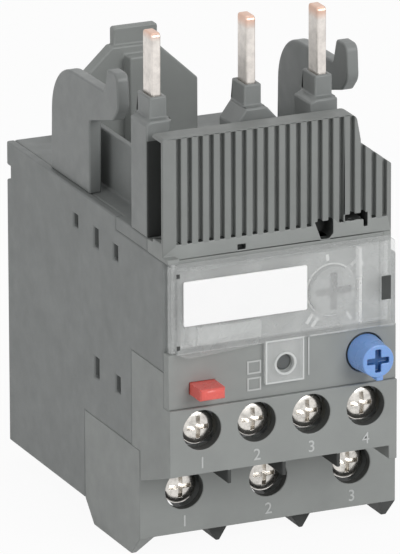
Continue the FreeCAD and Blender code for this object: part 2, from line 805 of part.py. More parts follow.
def main_terminal_block():
    front = -S.main_front
    back = S.step_back
    ceiling = S.step_top - S.wall
    walls = [
        box(-half_width, half_width, front, front + S.floor_wall, S.base, S.step_top),
        box(-half_width, half_width, front, back, ceiling, S.step_top),
        box(-inner - 0.2, inner + 0.2, back - S.wall, back, S.base, S.step_top),
    ]
    side = document.addObject("PartDesign::Body", fresh("side_profile"))
    outline = [(back, S.base), (back, S.step_top), (front, S.step_top), (front, S.base),
               (-S.tooth_front, 0.0), (S.tooth_back, 0.0)]
    feature(side, "Pad", "YZ", -half_width, half_width, [outline])
    teeth = document.addObject("PartDesign::Body", fresh("teeth"))
    flat = 0.3
    for middle in partitions:
        half = S.floor_wall / 2
        tooth = [(middle - flat, 0.0), (middle + flat, 0.0), (middle + S.tooth_half, S.base),
                 (middle + half, S.base + S.tooth_half), (middle + half, ceiling + 0.5),
                 (middle - half, ceiling + 0.5), (middle - half, S.base + S.tooth_half),
                 (middle - S.tooth_half, S.base)]
        feature(teeth, "Pad", "XZ", -S.tooth_front, back, [tooth])
        walls.append(box(middle - half, middle + half, front + 1.0, -S.tooth_front + 1.0, S.base,
                         ceiling + 0.5))
    walls.append(common(teeth, side))
    cheeks = document.addObject("PartDesign::Body", fresh("cheeks"))
    for side_sign in (-1, 1):
        outer = half_width * side_sign
        face = inner * side_sign
        cheek = [(outer, 0.0), (outer, S.step_top), (face, S.step_top), (face, S.base + S.tooth_half),
                 (face - side_sign * 1.1, S.base), (outer - side_sign * 0.9, 0.0)]
        feature(cheeks, "Pad", "XZ", front, back, [cheek])
    walls.append(common(cheeks, side))
    tools = []
    for middle in phases:
        tools.append(round_bar(middle, S.main_high, front - 1.0, front + 3.0, S.main_hole))
        tools.append(box(middle - S.tongue_half - S.seat_gap, middle + S.tongue_half + S.seat_gap,
                         back - S.wall - 1.0, back + 1.0, strip_low - S.seat_gap, strip_top + S.seat_gap))
        guide = S.cage_half + S.seat_gap
        for side_sign in (-1, 1):
            near = middle + guide * side_sign
            far = middle + (phase_pitch / 2 - S.floor_wall / 2 + 0.2) * side_sign
            left, right = (near, far) if side_sign > 0 else (far, near)
            walls.append(box(left, right, -cage_front - 1.0, back - 1.0, S.main_high + 1.8,
                             ceiling + 0.5))
    keep("main_terminal_block", cut(fuse(walls), tools))


# ---- clear cover, dial and buttons ---------------------------------------------------------

def clear_cover():
    cover = new_body("clear_cover")
    front = -S.cover_front
    skin = front + S.cover_skin
    rim_back = -S.plate_recess - S.seat_gap
    left = hinge_across + S.hinge_radius
    panel = rectangle(hinge_across, cover_right, S.cover_bottom, S.cover_top)
    feature(cover, "Pad", "XZ", front, skin, [panel])
    flap = rectangle(S.tab_left, S.tab_right, S.tab_bottom, S.cover_bottom + 0.5)
    feature(cover, "Pad", "XZ", front, skin, [flap])
    rims = [
        rectangle(left, cover_right, S.cover_top - S.cover_skin, S.cover_top),
        rectangle(left, cover_right, S.cover_bottom, S.cover_bottom + S.cover_skin),
    ]
    for rim in rims:
        feature(cover, "Pad", "XZ", front, rim_back, [rim])
    right_rim = rectangle(cover_right - S.cover_skin, cover_right, S.cover_bottom, S.cover_top)
    feature(cover, "Pad", "XZ", front, rim_back, [right_rim])
    barrel = (hinge_across, -S.hinge_front, S.hinge_radius)
    feature(cover, "Pad", "XY", S.cover_bottom, S.cover_top, circles=[barrel])
    web = rectangle(hinge_across, left, front, -S.hinge_front)
    feature(cover, "Pad", "XY", S.cover_bottom, S.cover_top, [web])
    stub = (hinge_across, -S.hinge_front, S.hinge_stub)
    feature(cover, "Pad", "XY", S.cover_bottom - S.hinge_stub_long, S.cover_top + S.hinge_stub_long,
            circles=[stub])
    seal_block = rectangle(cover_right - 2.7, cover_right, S.cover_bottom, S.cover_top)
    feature(cover, "Pad", "XZ", front - 0.3, front, [seal_block])
    seal_slot = rectangle(cover_right - 2.0, cover_right - S.cover_skin, dial_high - 2.0,
                          dial_high + 2.0)
    test_hole = (S.test_across, S.test_high, S.test_radius + 0.25)
    feature(cover, "Pocket", "XZ", front - 1.0, skin, [seal_slot], [test_hole])


def label_plate():
    plate = new_body("label_plate")
    left = S.label_inset - half_width
    high = S.cover_top - S.label_drop
    low = high - S.label_tall
    outline = [
        (left, low, 0.3), (S.label_right, low, 0.3), (S.label_right, high, 0.3), (left, high, 0.3),
    ]
    feature(plate, "Pad", "XZ", -S.cover_front - S.label_thick, -S.cover_front, [outline])


def setting_dial():
    across = dial_across
    high = dial_high
    flange_front = -S.plate_back + S.seat_gap
    flange_back = flange_front + 0.8
    solid = fuse([
        round_bar(across, high, -S.dial_front, -S.plate_back + 0.5, S.dial_radius),
        round_bar(across, high, flange_front, flange_back, S.dial_radius + 0.8),
        round_bar(across, high, flange_front, -S.dial_back, S.dial_shaft),
        round_bar(across - S.cam_throw, high, flange_back - 0.1, -S.dial_back - 0.8, S.cam_radius),
    ])
    slot = S.dial_slot / 2
    reach = S.dial_radius - 0.9
    slots = [
        box(across - reach, across + reach, -S.dial_front - 1.0, -S.dial_front + 0.9,
            high - slot, high + slot),
        box(across - slot, across + slot, -S.dial_front - 1.0, -S.dial_front + 0.9,
            high - reach, high + reach),
    ]
    keep("setting_dial", cut(solid, slots))


def adjusting_lever():
    """A bar over the dial's cam that swings on the face plate's pin."""
    front = lever_front
    back = lever_back
    low = lever_low
    pivot_high = lever_pivot_high
    bar = box(dial_across - S.lever_end, lever_pivot_across, front, back, low, low + S.lever_tall)
    boss = round_bar(lever_pivot_across, pivot_high, front, back, S.lever_boss)
    half = S.lever_boss - S.lever_pin
    tail = box(lever_pivot_across - half, lever_pivot_across + half, back - 0.5, back + S.lever_tail,
               pivot_high - half, pivot_high + half)
    hole = round_bar(lever_pivot_across, pivot_high, front - 1.0, back - 0.6, S.lever_pin + S.play)
    keep("adjusting_lever", cut(fuse([bar, boss, tail]), [hole]))


def plunger(label, across, high, head, head_front):
    """A push button: its head passes the face plate, its flange stays behind it."""
    flange_front = -S.plate_back + S.seat_gap
    flange_back = flange_front + S.flange_thick
    keep(label, fuse([
        head(across, high, head_front, flange_front + 0.5),
        round_bar(across, high, flange_front, flange_back, S.flange_radius),
        round_bar(across, high, flange_back - 0.5, -S.tail_back, S.tail_radius),
    ]))


def return_spring(label, across, high):
    """A coil between a plunger's flange and the lug behind it."""
    wire = float(S.spring_wire)
    flat = float(S.spring_flat)
    radius = float(S.spring_radius)
    start = float(S.seat_gap + S.flange_thick - S.plate_back) + flat + 0.02
    length = -float(S.lug_front) - flat - 0.02 - start
    path = Part.makeHelix(length / float(S.spring_turns), length, radius)
    corners = [FreeCAD.Vector(radius + side * wire, 0, rise * flat)
               for side, rise in ((-1, -1), (1, -1), (1, 1), (-1, 1), (-1, -1))]
    section = Part.makePolygon(corners)
    coil = Part.Wire(path.Edges).makePipeShell([section], True, True)
    spring = document.addObject("Part::Feature", fresh("spring"))
    spring.Shape = coil
    spring.Placement = FreeCAD.Placement(FreeCAD.Vector(float(across), start, float(high)),
                                         FreeCAD.Rotation(FreeCAD.Vector(1, 0, 0), -90))
    keep(label, spring)


def buttons():
    def stop_head(across, high, front, back):
        return box(across - S.stop_wide / 2, across + S.stop_wide / 2, front, back,
                   high - S.stop_tall / 2, high + S.stop_tall / 2)

    def test_head(across, high, front, back):
        return round_bar(across, high, front, back, S.test_radius)

    def reset_head(across, high, front, back):
        return round_bar(across, high, front, back, S.reset_radius)

    plunger("stop_button", stop_across, S.stop_high, stop_head, -S.button_front)
    plunger("test_plunger", S.test_across, S.test_high, test_head, -S.plate_front)
    plunger("reset_stem", reset_across, S.reset_high, reset_head, -S.knob_front + 2.6)
    return_spring("stop_spring", stop_across, S.stop_high)
    return_spring("test_spring", S.test_across, S.test_high)
    return_spring("reset_spring", reset_across, S.reset_high)


def reset_knob():
    across = reset_across
    high = S.reset_high
    front = -S.knob_front
    back = knob_back
    nub_back = -S.plate_front - S.press_travel - 2 * S.seat_gap
    grip = document.addObject("Part::Cone", fresh("grip"))
    bind(grip, "Radius1", S.knob_radius - S.knob_taper)
    bind(grip, "Radius2", S.knob_radius)
    bind(grip, "Height", back - front)
    grip.Placement.Rotation = FreeCAD.Rotation(FreeCAD.Vector(1, 0, 0), -90)
    place(grip, across, front, high)
    pointer = box(across - 0.1, across + 1.1, front + 0.5, nub_back, high - S.knob_radius - 0.4, high - 1.4)
    solid = fuse([grip, pointer])
    slot = S.knob_slot / 2
    reach = S.knob_radius - S.knob_taper - 0.8
    tools = [
        round_bar(across, high, front + 2.6 - S.play, back + 1.0, S.reset_radius + S.play),
        box(across - reach, across + reach, front - 1.0, front + 1.1, high - slot, high + slot),
        box(across - slot, across + slot, front - 1.0, front + 1.1, high - reach, high + reach),
    ]
    keep("reset_knob", cut(solid, tools))


# ---- top: pins, sleeves, hooks -------------------------------------------------------------

def line_pin(number, middle, phase, high):
    """A blade for the contactor, its bus strip to the phase, and the lead down to the heater."""
    half = S.pin_thick / 2
    front = -S.pin_middle - S.pin_deep / 2
    back = -S.pin_middle + S.pin_deep / 2
    low = S.bus_high
    bus_low = S.bus_high - S.strip_thick
    half_bus = S.bus_half
    tip = new_body(f"line_pin_{number}")
    blade = [(front, bus_low), (back, bus_low), (back, high, S.pin_tip), (front, high, S.pin_tip)]
    feature(tip, "Pad", "YZ", middle - half, middle + half, [blade])
    left, right = (middle - half, phase + half_bus)
    feature(tip, "Pad", "XY", bus_low, low, [rectangle(left, right, front, back)])
    strip = rectangle(phase - half_bus, phase + half_bus, front, S.bus_back)
    feature(tip, "Pad", "XY", bus_low, low, [strip])
    coil_top = S.coil_low + S.coil_pitch * S.coil_turns
    lead_back = S.bimetal_mid + S.coil_radius + S.coil_wire
    half_lead = S.lead_wide / 2
    drop = rectangle(phase - half_lead, phase + half_lead, S.bus_back - S.strip_thick, S.bus_back)
    feature(tip, "Pad", "XY", coil_top + S.coil_wire, low, [drop])
    arm = rectangle(phase - half_lead, phase + half_lead, lead_back - S.lead_wide, S.bus_back)
    feature(tip, "Pad", "XY", coil_top + S.coil_wire, coil_top + S.coil_wire + S.lead_wide, [arm])


def pin_sleeve(number, middle, left, right, shoulder):
    """The insulating post around a line pin, with a thinner collar at its top."""
    front = -S.post_front
    back = -S.post_back
    collar_x = S.pin_thick / 2 + S.sleeve_wall
    collar_y = S.pin_deep / 2 + S.sleeve_wall
    sleeve = document.addObject("PartDesign::Body", fresh("sleeve"))
    outline = [(left, S.top), (right, S.top), (right, S.post_top - shoulder),
               (middle + collar_x + 0.3, S.post_top), (middle - collar_x - 0.3, S.post_top),
               (left, S.post_top - shoulder)]
    feature(sleeve, "Pad", "XZ", front, back, [outline])
    collar = box(middle - collar_x, middle + collar_x, -S.pin_middle - collar_y,
                 -S.pin_middle + collar_y, S.post_top - 1.0, S.sleeve_top)
    hole = box(middle - S.pin_thick / 2 - S.play, middle + S.pin_thick / 2 + S.play,
               -S.pin_middle - S.pin_deep / 2 - S.play, -S.pin_middle + S.pin_deep / 2 + S.play,
               S.top - 1.0, S.sleeve_top + 1.0)
    keep(f"pin_sleeve_{number}", cut(fuse([sleeve, collar]), [hole]))


def mounting_hook(label, left):
    hook = new_body(label)
    high = S.top
    outline = [
        (S.hook_back, high),
        (S.hook_back - 0.6, high + S.hook_rise - 0.3, S.hook_crown),
        (S.hook_tip_long - S.hook_nose, high + S.hook_rise, 0.6),
        (S.hook_tip_long - S.hook_nose - 1.3, high + S.hook_tip, 0.7),
        (0.5 - S.hook_nose, high + S.hook_tip, 1.4),
        (-S.hook_nose, high + S.hook_rise - 1.6, 2.4),
        (S.hook_chin - S.hook_nose, high + S.hook_rise - S.hook_cheek, 1.6),
        (S.hook_throat, high + S.hook_rise - S.hook_neck, 0.6),
        (S.hook_throat, high),
    ]
    feature(hook, "Pad", "YZ", left, left + S.hook_thick, [outline])


def rear_catch_plate():
    plate = new_body("rear_catch_plate")
    middle = S.catch_middle
    high = S.top
    front = S.catch_front
    shoulders = [
        (middle - S.catch_half, high), (middle + S.catch_half, high),
        (middle + S.catch_half, high + S.catch_shoulder, 0.5), (middle + S.tab_half, high + S.tab_low),
        (middle - S.tab_half, high + S.tab_low), (middle - S.catch_half, high + S.catch_shoulder, 0.5),
    ]
    feature(plate, "Pad", "XZ", front, front + S.catch_thick, [shoulders])
    left = middle + S.tab_shift - S.tab_half
    right = middle + S.tab_shift + S.tab_half
    tab = [(left, high + S.tab_low - 2.0), (right, high + S.tab_low - 2.0),
           (right, high + S.tab_high, 0.5), (left, high + S.tab_high, 0.5)]
    feature(plate, "Pad", "XZ", front + 0.8, front + S.catch_thick, [tab])
    rib = rectangle(middle - S.catch_rib_left, middle + S.catch_rib_right, high,
                    high + S.tab_low - S.catch_rib_drop)
    feature(plate, "Pad", "XZ", front - S.catch_rib_deep, front + 0.5, [rib])


# ---- power path ----------------------------------------------------------------------------

def bimetal(number, middle):
    half = S.bimetal_thick / 2
    keep(f"bimetal_{number}", box(middle - half, middle + half, S.bimetal_mid - S.bimetal_wide / 2,
                                  S.bimetal_mid + S.bimetal_wide / 2, strip_top, S.bimetal_top))


def heater_winding(number, middle):
    """A wire wound round the bimetal; one end on the bimetal, the other under the line lead."""
    radius = float(S.coil_radius)
    wire = float(S.coil_wire)
    length = float(S.coil_pitch * S.coil_turns)
    low = float(S.coil_low)
    path = Part.makeHelix(float(S.coil_pitch), length, radius)
    ring = Part.Circle(FreeCAD.Vector(radius, 0, 0), FreeCAD.Vector(0, 1, 0), wire)
    coil = Part.Wire(path.Edges).makePipeShell([Part.Wire([ring.toShape()])], True, True)
    edge = float(S.bimetal_wide / 2)
    lug = wire + float(S.play)
    foot = Part.makeBox(radius + lug - edge, 2 * lug, 2 * lug, FreeCAD.Vector(edge, -lug, -lug))
    head = Part.makeBox(2 * lug, 2 * lug, wire + lug, FreeCAD.Vector(radius - lug, -lug, length - lug))
    winding = document.addObject("Part::Feature", fresh("winding"))
    winding.Shape = coil.fuse([foot, head]).removeSplitter()
    winding.Placement = FreeCAD.Placement(FreeCAD.Vector(float(middle), float(S.bimetal_mid), low),
                                          FreeCAD.Rotation(FreeCAD.Vector(0, 0, 1), 90))
    keep(f"heater_winding_{number}", winding)


def output_plate(number, middle):
    """From the bimetal's foot over the cage to the tongue that the main screw presses."""
    plate = new_body(f"output_plate_{number}")
    half = S.tongue_half
    tongue_back = S.strip_thick - S.tongue_front
    foot_front = S.bimetal_mid - S.bimetal_wide / 2
    foot_back = S.bimetal_mid + S.bimetal_wide / 2
    run = rectangle(middle - half, middle + half, -S.tongue_front, foot_back)
    feature(plate, "Pad", "XY", strip_low, strip_top, [run])
    tongue = rectangle(middle - half, middle + half, S.main_high - S.cage_half_tall + 0.5, strip_top)
    feature(plate, "Pad", "XZ", -S.tongue_front, tongue_back, [tongue])
    upright = rectangle(foot_front, foot_back, strip_low, strip_top + 5.0)
    near = middle + S.bimetal_thick / 2
    feature(plate, "Pad", "YZ", near, near + S.strip_thick, [upright])


def cross_head(middle, high, front, radius, thick, slot, deep, reach):
    """A pan head with a cross slot, its front face at front."""
    head = document.addObject("Part::Chamfer", fresh("head"))
    blank = round_bar(middle, high, front, front + thick, radius)
    document.recompute()
    head.Base = blank
    rim = [number for number, edge in enumerate(blank.Shape.Edges, 1)
           if edge.Closed and abs(edge.CenterOfMass.y - float(front)) < 1e-6]
    head.Edges = [(number, 0.4, 0.4) for number in rim]
    tools = [
        box(middle - reach, middle + reach, front - 1.0, front + deep, high - slot / 2, high + slot / 2),
        box(middle - slot / 2, middle + slot / 2, front - 1.0, front + deep, high - reach, high + reach),
    ]
    return cut(head, tools)


def main_terminal(number, middle):
    front = -S.main_head_front
    head = cross_head(middle, S.main_high, front, S.main_head, S.main_head_thick, S.slot_wide,
                      S.slot_deep, S.main_head - 0.7)
    tip = -S.tongue_front - S.seat_gap
    shank = round_bar(middle, S.main_high, front + S.main_head_thick - 0.3, tip, S.main_shank)
    keep(f"main_screw_{number}", fuse([head, shank]))
    low = S.main_high - S.cage_half_tall
    high = S.main_high + S.cage_half_tall
    cage = new_body(f"wire_cage_{number}")
    ring = rectangle(middle - S.cage_half, middle + S.cage_half, -cage_front, -S.cage_back)
    feature(cage, "Pad", "XY", low, high, [ring])
    window = rectangle(middle - S.cage_half + S.cage_wall, middle + S.cage_half - S.cage_wall,
                       -cage_front + 1.4, -S.cage_back - S.cage_wall)
    feature(cage, "Pocket", "XY", low - 1.0, high + 1.0, [window])
    thread = (middle, S.main_high, S.main_shank + S.play)
    feature(cage, "Pocket", "XZ", -cage_front - 1.0, -cage_front + 1.5, circles=[thread])


def aux_terminal(number, middle):
    """A terminal screw, its square clamp, and the strip that it is tapped into."""
    front = -S.aux_head_front
    head = cross_head(middle, S.aux_high, front, S.aux_head, S.aux_head_thick, S.slot_wide,
                      S.slot_deep, S.aux_head - 0.7)
    shank = round_bar(middle, S.aux_high, front + S.aux_head_thick - 0.3, -S.aux_shank_back, S.aux_shank)
    keep(f"aux_screw_{number}", fuse([head, shank]))
    clamp_front = front + S.aux_head_thick + S.play
    clamp = new_body(f"aux_clamp_{number}")
    square = rectangle(middle - S.clamp_half, middle + S.clamp_half,
                       S.aux_high - S.clamp_half, S.block_top - S.wall - 2 * S.seat_gap)
    feature(clamp, "Pad", "XZ", clamp_front, clamp_front + S.clamp_thick, [square])
    feature(clamp, "Pocket", "XZ", clamp_front - 1.0, clamp_front + 2.0,
            circles=[(middle, S.aux_high, S.aux_shank + S.play)])
    strip = new_body(f"contact_strip_{number}")
    half = S.contact_wide / 2
    low = S.aux_high - S.clamp_half - 0.6
    shoulder = S.block_top - S.wall - S.seat_gap
    bend = shelf_top + S.strip_thick
    outline = [(middle - S.clamp_half, low), (middle + S.clamp_half, low),
               (middle + S.clamp_half, shoulder), (middle + half, shoulder),
               (middle + half, bend), (middle - half, bend),
               (middle - half, shoulder), (middle - S.clamp_half, shoulder)]
    feature(strip, "Pad", "XZ", -S.contact_front, contact_back, [outline],
            [(middle, S.aux_high, S.aux_shank + S.play)])
    tail = rectangle(middle - S.strip_thick / 2, middle + S.strip_thick / 2,
                     -S.contact_front, tail_back)
    feature(strip, "Pad", "XY", bend - 0.5, S.contact_top, [tail])


# ---- trip mechanism ------------------------------------------------------------------------

def slide_bar(label, back, finger_sign, finger_gap, finger_front, finger_back, right):
    """A bar across the three phases, with a finger beside each bimetal's free end."""
    low = S.partition_top + S.play
    high = low + S.bar_tall
    parts = [box(S.bar_inset - half_width, right, back - S.bar_thick, back, low, high)]
    near = S.bimetal_thick / 2 + finger_gap
    for middle in phases:
        if finger_sign > 0:
            left, finger_right = middle + near, middle + near + S.finger_wide
        else:
            left, finger_right = middle - near - S.finger_wide, middle - near
        parts.append(box(left, finger_right, finger_front, finger_back, low, high))
    keep(label, fuse(parts))


def compensation_lever():
    half = S.comp_thick / 2
    low = S.partition_top + S.play
    high = low + S.comp_tall
    blade = box(comp_across - half, comp_across + half, -S.comp_front, S.comp_back, low, high)
    boss = post(comp_across, -S.comp_pivot, low, high, S.comp_boss)
    hole = post(comp_across, -S.comp_pivot, low - 1.0, high + 1.0, S.comp_pin + S.play)
    keep("compensation_lever", cut(fuse([blade, boss]), [hole]))


def bridge(label, places, side, gap):
    """A contact bridge: a bar on the carrier with a finger beside each of two strips' tails."""
    middle_high = S.carrier_low + S.carrier_tall / 2
    low = middle_high - S.bridge_half
    high = middle_high + S.bridge_half
    near = [place + (S.strip_thick / 2 + gap) * side for place in places]
    far = [edge + S.contact_finger * side for edge in near]
    left = [min(pair, key=float) for pair in zip(near, far)]
    right = [max(pair, key=float) for pair in zip(near, far)]
    parts = [box(left[0], right[1], bridge_front, -S.carrier_front, low, high)]
    for finger_left, finger_right in zip(left, right):
        parts.append(box(finger_left, finger_right, -S.contact_front + 0.3, bridge_front + 0.3, low, high))
    keep(label, fuse(parts))


def contact_carrier():
    front = -S.carrier_front
    back = front + S.carrier_deep
    low = S.carrier_low
    high = low + S.carrier_tall
    left = aux_places[0] - S.carrier_end
    right = aux_places[3] + 2.6
    leg_low = shelf_top + S.play
    arm_front = S.wall - S.main_front + 2 * S.seat_gap
    parts = [
        box(left, right, front, back, low, high),
        box(left, left + 1.2, front, back, leg_low, high),
        box(right - 1.2, right, front, back, leg_low, high),
        box(right - 1.2, comp_across - 0.9, arm_front, arm_front + 1.4, low + 1.0, high + 3.0),
    ]
    keep("contact_carrier", fuse(parts))
    bridge("closed_contact_bridge", aux_places[:2], -1, S.play)
    bridge("open_contact_bridge", aux_places[2:], 1, S.contact_gap)


# ---- the relay -----------------------------------------------------------------------------

left_side_shell()
right_side_shell()
main_housing()
front_cover()
face_plate()
aux_terminal_block()
main_terminal_block()
clear_cover()
label_plate()
setting_dial()
adjusting_lever()
buttons()
reset_knob()
pin_sleeve(1, pins[0], -half_width, pins[0] + S.post_right, S.post_shoulder)
pin_sleeve(2, pins[1], pins[1] - S.post_left_wide, pins[1] + S.post_right_wide, S.post_flare)
pin_sleeve(3, pins[2], pins[2] - S.post_inner, pins[2] + S.post_wing, S.post_shoulder)
mounting_hook("left_mounting_hook", -hook_left)
mounting_hook("right_mounting_hook", hook_right)
rear_catch_plate()
for index in range(3):
    line_pin(index + 1, pins[index], phases[index], pin_tops[index])
    bimetal(index + 1, phases[index])
    heater_winding(index + 1, phases[index])
    output_plate(index + 1, phases[index])
    main_terminal(index + 1, phases[index])
for index in range(4):
    aux_terminal(index + 1, aux_places[index])
second_bar_front = S.second_bar_back - S.bar_thick
slide_bar("trip_slide", S.trip_bar_back, 1, S.finger_gap, S.trip_bar_back - 0.5,
          S.trip_bar_back + S.finger_reach, bar_right)
slide_bar("differential_slide", S.second_bar_back, -1, S.trip_travel + 3 * S.play,
          second_bar_front - S.finger_reach, second_bar_front + 0.5, bar_right - S.finger_wide)
compensation_lever()
contact_carrier()
document.recompute()

# ---- check and write -----------------------------------------------------------------------

for thing in document.Objects:
    if "Invalid" in thing.State or "Error" in thing.State:
        raise RuntimeError(f"{thing.Label} failed: {thing.State}")
for thing in PIECES:
    if thing.Shape.isNull() or not thing.Shape.isValid() or not thing.Shape.Solids:
        raise RuntimeError(f"{thing.Label} is not a valid solid")
os.makedirs("parts", exist_ok=True)
for thing in PIECES:
    thing.Shape.exportStep(f"parts/{thing.Label}.step")
    print(f"{thing.Label}: {len(thing.Shape.Solids)} solid, {thing.Shape.Volume:.1f} mm3")
print(len(PIECES), "pieces")
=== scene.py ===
"""Dresses the thermal overload relay: materials, softened edges, screws, numbers, light and camera."""

import json
import math

import bmesh
import bpy
from bpy.props import FloatProperty, FloatVectorProperty, PointerProperty
from bpy.types import Operator, Panel, PropertyGroup
from mathutils import Matrix, Quaternion, Vector


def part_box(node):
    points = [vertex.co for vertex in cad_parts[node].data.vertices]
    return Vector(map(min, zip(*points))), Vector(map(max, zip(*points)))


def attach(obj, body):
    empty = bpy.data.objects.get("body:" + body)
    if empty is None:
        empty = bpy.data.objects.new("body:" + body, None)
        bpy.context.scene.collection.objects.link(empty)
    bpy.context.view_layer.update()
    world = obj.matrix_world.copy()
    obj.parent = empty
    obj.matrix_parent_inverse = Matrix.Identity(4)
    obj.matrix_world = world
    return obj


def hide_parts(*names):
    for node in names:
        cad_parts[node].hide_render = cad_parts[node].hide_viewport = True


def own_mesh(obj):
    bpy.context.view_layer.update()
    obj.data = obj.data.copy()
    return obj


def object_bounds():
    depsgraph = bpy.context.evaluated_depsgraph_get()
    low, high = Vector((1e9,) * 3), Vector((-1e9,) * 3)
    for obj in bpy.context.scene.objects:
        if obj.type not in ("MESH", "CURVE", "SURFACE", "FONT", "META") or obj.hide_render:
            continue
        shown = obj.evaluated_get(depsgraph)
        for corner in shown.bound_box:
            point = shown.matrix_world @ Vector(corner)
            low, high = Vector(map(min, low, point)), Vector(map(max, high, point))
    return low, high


bl_info = {
    "name": "Thermal overload relay",
    "version": (1, 0, 0),
    "blender": (4, 5, 0),
    "location": "3D View > Sidebar > Relay",
    "description": "Builds the looks of a thermal overload relay over its packed solids",
    "category": "Add Mesh",
}

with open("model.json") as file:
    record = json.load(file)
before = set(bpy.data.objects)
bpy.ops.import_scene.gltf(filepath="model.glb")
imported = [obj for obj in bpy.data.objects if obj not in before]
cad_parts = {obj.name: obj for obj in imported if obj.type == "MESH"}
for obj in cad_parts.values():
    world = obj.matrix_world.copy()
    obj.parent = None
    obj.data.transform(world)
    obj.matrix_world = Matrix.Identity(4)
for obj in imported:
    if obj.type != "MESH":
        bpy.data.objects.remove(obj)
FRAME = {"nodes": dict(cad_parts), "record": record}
CAD_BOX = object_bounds()
MM = 0.001
POLES = (1, 2, 3)
CONTROLS = (1, 2, 3, 4)
# edges that turn by more than this are sharp, on mouldings and on screws
SHARP_ANGLE = math.radians(35)
SCREW_ANGLE = math.radians(40)
# from the label down to the lower edge of the cover's main pane
BELOW_LABEL = 4.7 * MM


def paint(red, green, blue):
    """A display colour, 0 to 255, as the linear colour that Blender keeps."""
    def linear(value):
        value /= 255
        return value / 12.92 if value <= 0.04045 else ((value + 0.055) / 1.055) ** 2.4
    return (linear(red), linear(green), linear(blue))


def colour_prop(name, description, red, green, blue):
    """A colour, with its default in display values."""
    return FloatVectorProperty(name=name, description=description, subtype="COLOR", size=3,
                               min=0.0, max=1.0, default=paint(red, green, blue))


def length_prop(name, description, millimetres):
    """A length, with its default in millimetres."""
    return FloatProperty(name=name, description=description, subtype="DISTANCE", unit="LENGTH",
                         min=0.0, default=millimetres * MM)


class RelayColours(PropertyGroup):
    """Colours of the relay's plastics and metals."""

    front: colour_prop("Front plastic", "Grey of the covers, blocks and catch", 146, 149, 147)
    side: colour_prop("Side plastic", "Grey of the side shells and the housing", 134, 137, 136)
    hook: colour_prop("Hook plastic", "Grey of the hooks and sleeves", 132, 135, 134)
    inner: colour_prop("Inner plastic", "Natural plastic of the slides, carrier and stem", 214, 212, 202)
    test: colour_prop("Test plunger", "Dark grey of the test plunger", 92, 95, 95)
    stop: colour_prop("Stop button", "Red of the stop button", 228, 104, 96)
    reset: colour_prop("Reset knob", "Blue of the reset knob", 130, 170, 230)
    # painted shade: this darker blue stands in for the shade inside the knob's cross
    reset_deep: colour_prop("Reset knob's cross", "Darker blue inside the knob's cross", 56, 100, 156)
    # painted shade: this dark grey stands in for the shade deep in the openings, not for a plastic of its
    # own
    recess: colour_prop("Recess", "Dark grey deep in the openings", 62, 64, 63)
    clear: colour_prop("Clear cover", "Tint of the clear cover", 240, 242, 241)
    label: colour_prop("Label", "White of the blank label", 255, 255, 255)
    dial: colour_prop("Dial", "Grey of the setting dial", 150, 153, 151)
    mark: colour_prop("Marks", "Pale grey of the raised numbers and lines", 190, 192, 191)
    # the scale marks' white is print; the bright rib beside the dial takes it as a painted highlight
    scale: colour_prop("Scale", "White of the scale marks and the bright rib", 244, 244, 243)
    nickel: colour_prop("Nickel", "Plating of the terminal screws", 226, 222, 216)
    zinc: colour_prop("Zinc", "Plating of the cages, clamps and bridges", 196, 198, 200)
    silver: colour_prop("Silver", "Plating of the pins and output plates", 228, 222, 216)
    copper: colour_prop("Copper", "Copper that shows at the pins' tips", 214, 160, 130)
    brass: colour_prop("Brass", "Contact strips", 206, 178, 116)
    bimetal: colour_prop("Bimetal", "Bimetal strips and the compensation lever", 150, 146, 142)
    heater: colour_prop("Heater wire", "Oxidised heater windings", 104, 96, 88)
    floor: colour_prop("Floor", "Pale studio floor", 247, 247, 247)


class RelaySizes(PropertyGroup):
    """Sizes of the dressing, and the camera's place."""

    edge: length_prop("Edge", "Rounding of the moulded edges", 0.28)
    fine_edge: length_prop("Fine edge", "Rounding of the small edges", 0.14)
    dome: length_prop("Screw dome", "How far a screw head swells at its middle", 0.75)
    number: length_prop("Numbers", "Height of the terminal numbers", 1.9)
    relief: length_prop("Relief", "How far the numbers, lines and marks stand out", 0.12)
    tick: length_prop("Scale ticks", "Length of the dial's scale ticks", 1.3)
    gap: length_prop("Scale gap", "From the dial's rim to the scale ticks", 0.9)
    line: length_prop("Line", "Width of the raised lines", 0.26)
    aim: FloatVectorProperty(name="Camera aim", description="Where the camera looks, from the box's middle",
                             subtype="TRANSLATION", unit="LENGTH", size=3,
                             default=(-11.86 * MM, -18.5 * MM, 1.86 * MM))
    azimuth: FloatProperty(name="Camera azimuth", description="Angle round the relay from its front",
                           subtype="ANGLE", default=math.radians(-23.98))
    elevation: FloatProperty(name="Camera elevation", description="Angle above the horizon",
                             subtype="ANGLE", default=math.radians(18.13))
    roll: FloatProperty(name="Camera roll", description="Lean of the camera", subtype="ANGLE",
                        default=math.radians(-0.19))
    distance: FloatProperty(name="Camera distance", description="From the aim point to the camera",
                            subtype="DISTANCE", unit="LENGTH", default=1.4454)
    lens: FloatProperty(name="Lens", description="Focal length in millimetres", default=592.4)


# ---- shared helpers ------------------------------------------------------------------------

def colours():
    return bpy.context.scene.relay_colours


def sizes():
    return bpy.context.scene.relay_sizes


def link(piece):
    """Puts a new object into the scene."""
    bpy.context.scene.collection.objects.link(piece)
    return piece


def middle_of(node):
    """The middle of a CAD node's box."""
    low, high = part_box(node)
    return (low + high) / 2


def body_of_node(node):
    """The name of the body that a CAD node belongs to."""
    bodies = FRAME["record"]["behaviour"]["bodies"]
    return next(body for body, members in bodies.items() if node in members)


def smooth(mesh, angle=SHARP_ANGLE):
    """Shades a mesh smooth, but not across edges that turn by more than an angle."""
    mesh.polygons.foreach_set("use_smooth", [True] * len(mesh.polygons))
    mesh.set_sharp_from_angle(angle=angle)


